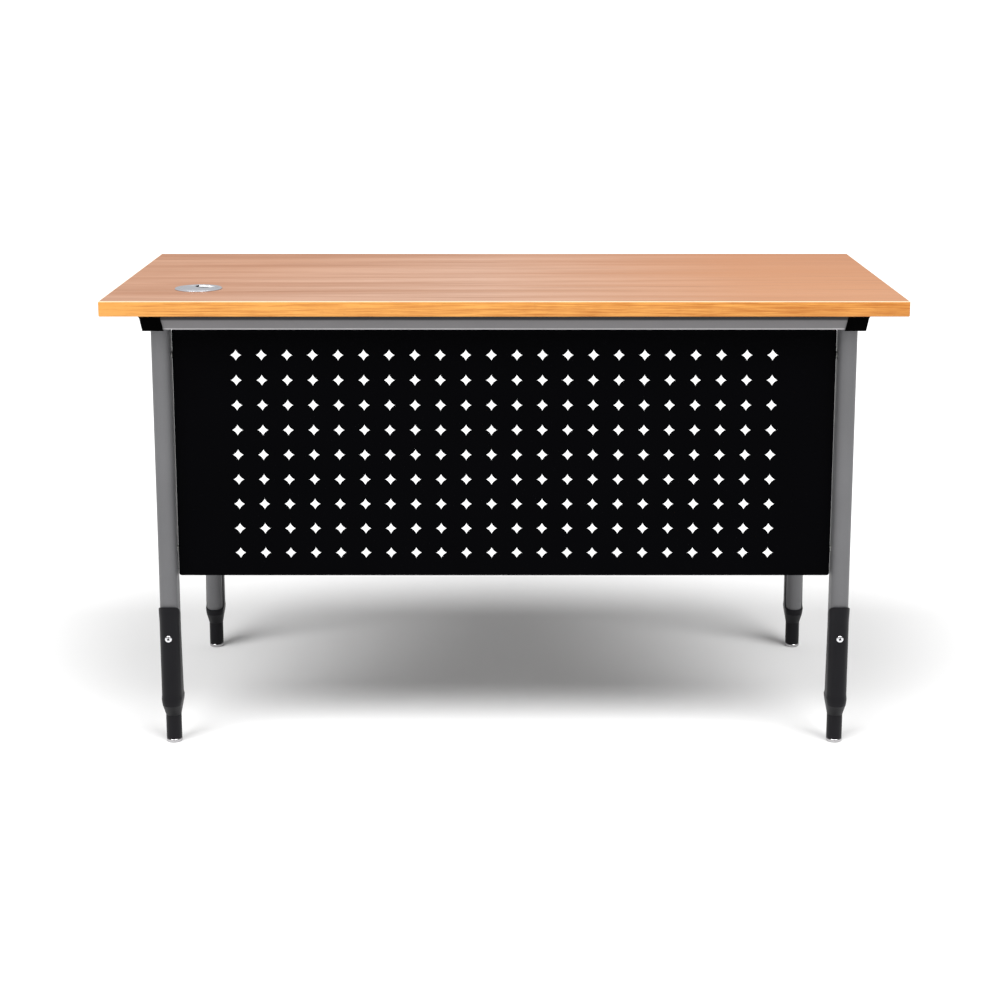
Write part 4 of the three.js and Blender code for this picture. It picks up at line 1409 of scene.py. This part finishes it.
class DESK_OT_stage(bpy.types.Operator):
    """Make the pale floor, the soft lights and the camera"""

    bl_idname = "desk.stage"
    bl_label = "Stage"

    def execute(self, context):
        scene = context.scene
        sizes = scene.desk_stage
        bm = bmesh.new()
        bmesh.ops.create_grid(bm, x_segments=1, y_segments=1, size=sizes.floor_size / 2)
        mesh = bpy.data.meshes.new("floor")
        bm.to_mesh(mesh)
        bm.free()
        floor = bpy.data.objects.new("floor", mesh)
        scene.collection.objects.link(floor)
        material = Finish("pale_floor")
        material.shade(Base_Color=(*sizes.floor_colour, 1), Roughness=0.95, Specular_IOR_Level=0.1)
        mesh.materials.append(material.material)

        world = bpy.data.worlds.new("studio")
        world.use_nodes = True
        nodes, links = world.node_tree.nodes, world.node_tree.links
        background = nodes["Background"]
        background.inputs["Color"].default_value = (1, 1, 1, 1)
        path = nodes.new("ShaderNodeLightPath")
        level = nodes.new("ShaderNodeMapRange")
        level.inputs["To Min"].default_value = sizes.sky_strength
        level.inputs["To Max"].default_value = BACKDROP_LEVEL
        links.new(path.outputs["Is Camera Ray"], level.inputs["Value"])
        links.new(level.outputs["Result"], background.inputs["Strength"])
        scene.world = world

        for side, across in (("left", -1), ("right", 1)):
            light = bpy.data.lights.new(f"key_{side}", "SUN")
            light.energy = sizes.key_strength
            light.angle = sizes.key_spread
            lamp = bpy.data.objects.new(f"key_{side}", light)
            scene.collection.objects.link(lamp)
            lamp.rotation_mode = "QUATERNION"
            aim = Vector((-across * KEY_INWARDS, KEY_AHEAD, KEY_DOWN))
            lamp.rotation_quaternion = aim.to_track_quat("-Z", "Y")

        scene.view_settings.view_transform = "Standard"
        camera = bpy.data.cameras.new("camera")
        camera.sensor_width = 36
        camera.lens = sizes.camera_lens
        camera.shift_x, camera.shift_y = sizes.camera_shift
        camera.clip_end = 400
        holder = bpy.data.objects.new("camera", camera)
        holder.location = sizes.camera_place
        holder.rotation_euler = (math.pi / 2 - sizes.camera_dip, 0, 0)
        scene.collection.objects.link(holder)
        scene.camera = holder
        return {"FINISHED"}


OPERATORS = (
    DESK_OT_stage,
    DESK_OT_top_board,
    DESK_OT_edging,
    DESK_OT_legs,
    DESK_OT_tubes,
    DESK_OT_end_caps,
    DESK_OT_foot_sleeves,
    DESK_OT_glides,
    DESK_OT_screws,
    DESK_OT_modesty_panel,
    DESK_OT_grommet,
    DESK_OT_carried_over,
)


class DESK_PT_sidebar(bpy.types.Panel):
    """The desk's operators and sizes in the 3D view's sidebar"""

    bl_label = "Teacher Desk"
    bl_space_type = "VIEW_3D"
    bl_region_type = "UI"
    bl_category = "Desk"

    def draw(self, context):
        layout = self.layout
        for operator in OPERATORS:
            layout.operator(operator.bl_idname)
        for name, group in SETTINGS.items():
            column = layout.column()
            column.label(text=group.__doc__)
            settings = getattr(context.scene, name)
            for prop in group.__annotations__:
                column.prop(settings, prop)


CLASSES = (*SETTINGS.values(), *OPERATORS, DESK_PT_sidebar)


def register():
    for made in CLASSES:
        bpy.utils.register_class(made)
    for name, group in SETTINGS.items():
        setattr(bpy.types.Scene, name, PointerProperty(type=group))


def unregister():
    for name in SETTINGS:
        delattr(bpy.types.Scene, name)
    for made in reversed(CLASSES):
        bpy.utils.unregister_class(made)


def main():
    register()
    for operator in OPERATORS:
        group, name = operator.bl_idname.split(".")
        getattr(getattr(bpy.ops, group), name)()


if __name__ == "__main__":
    main()
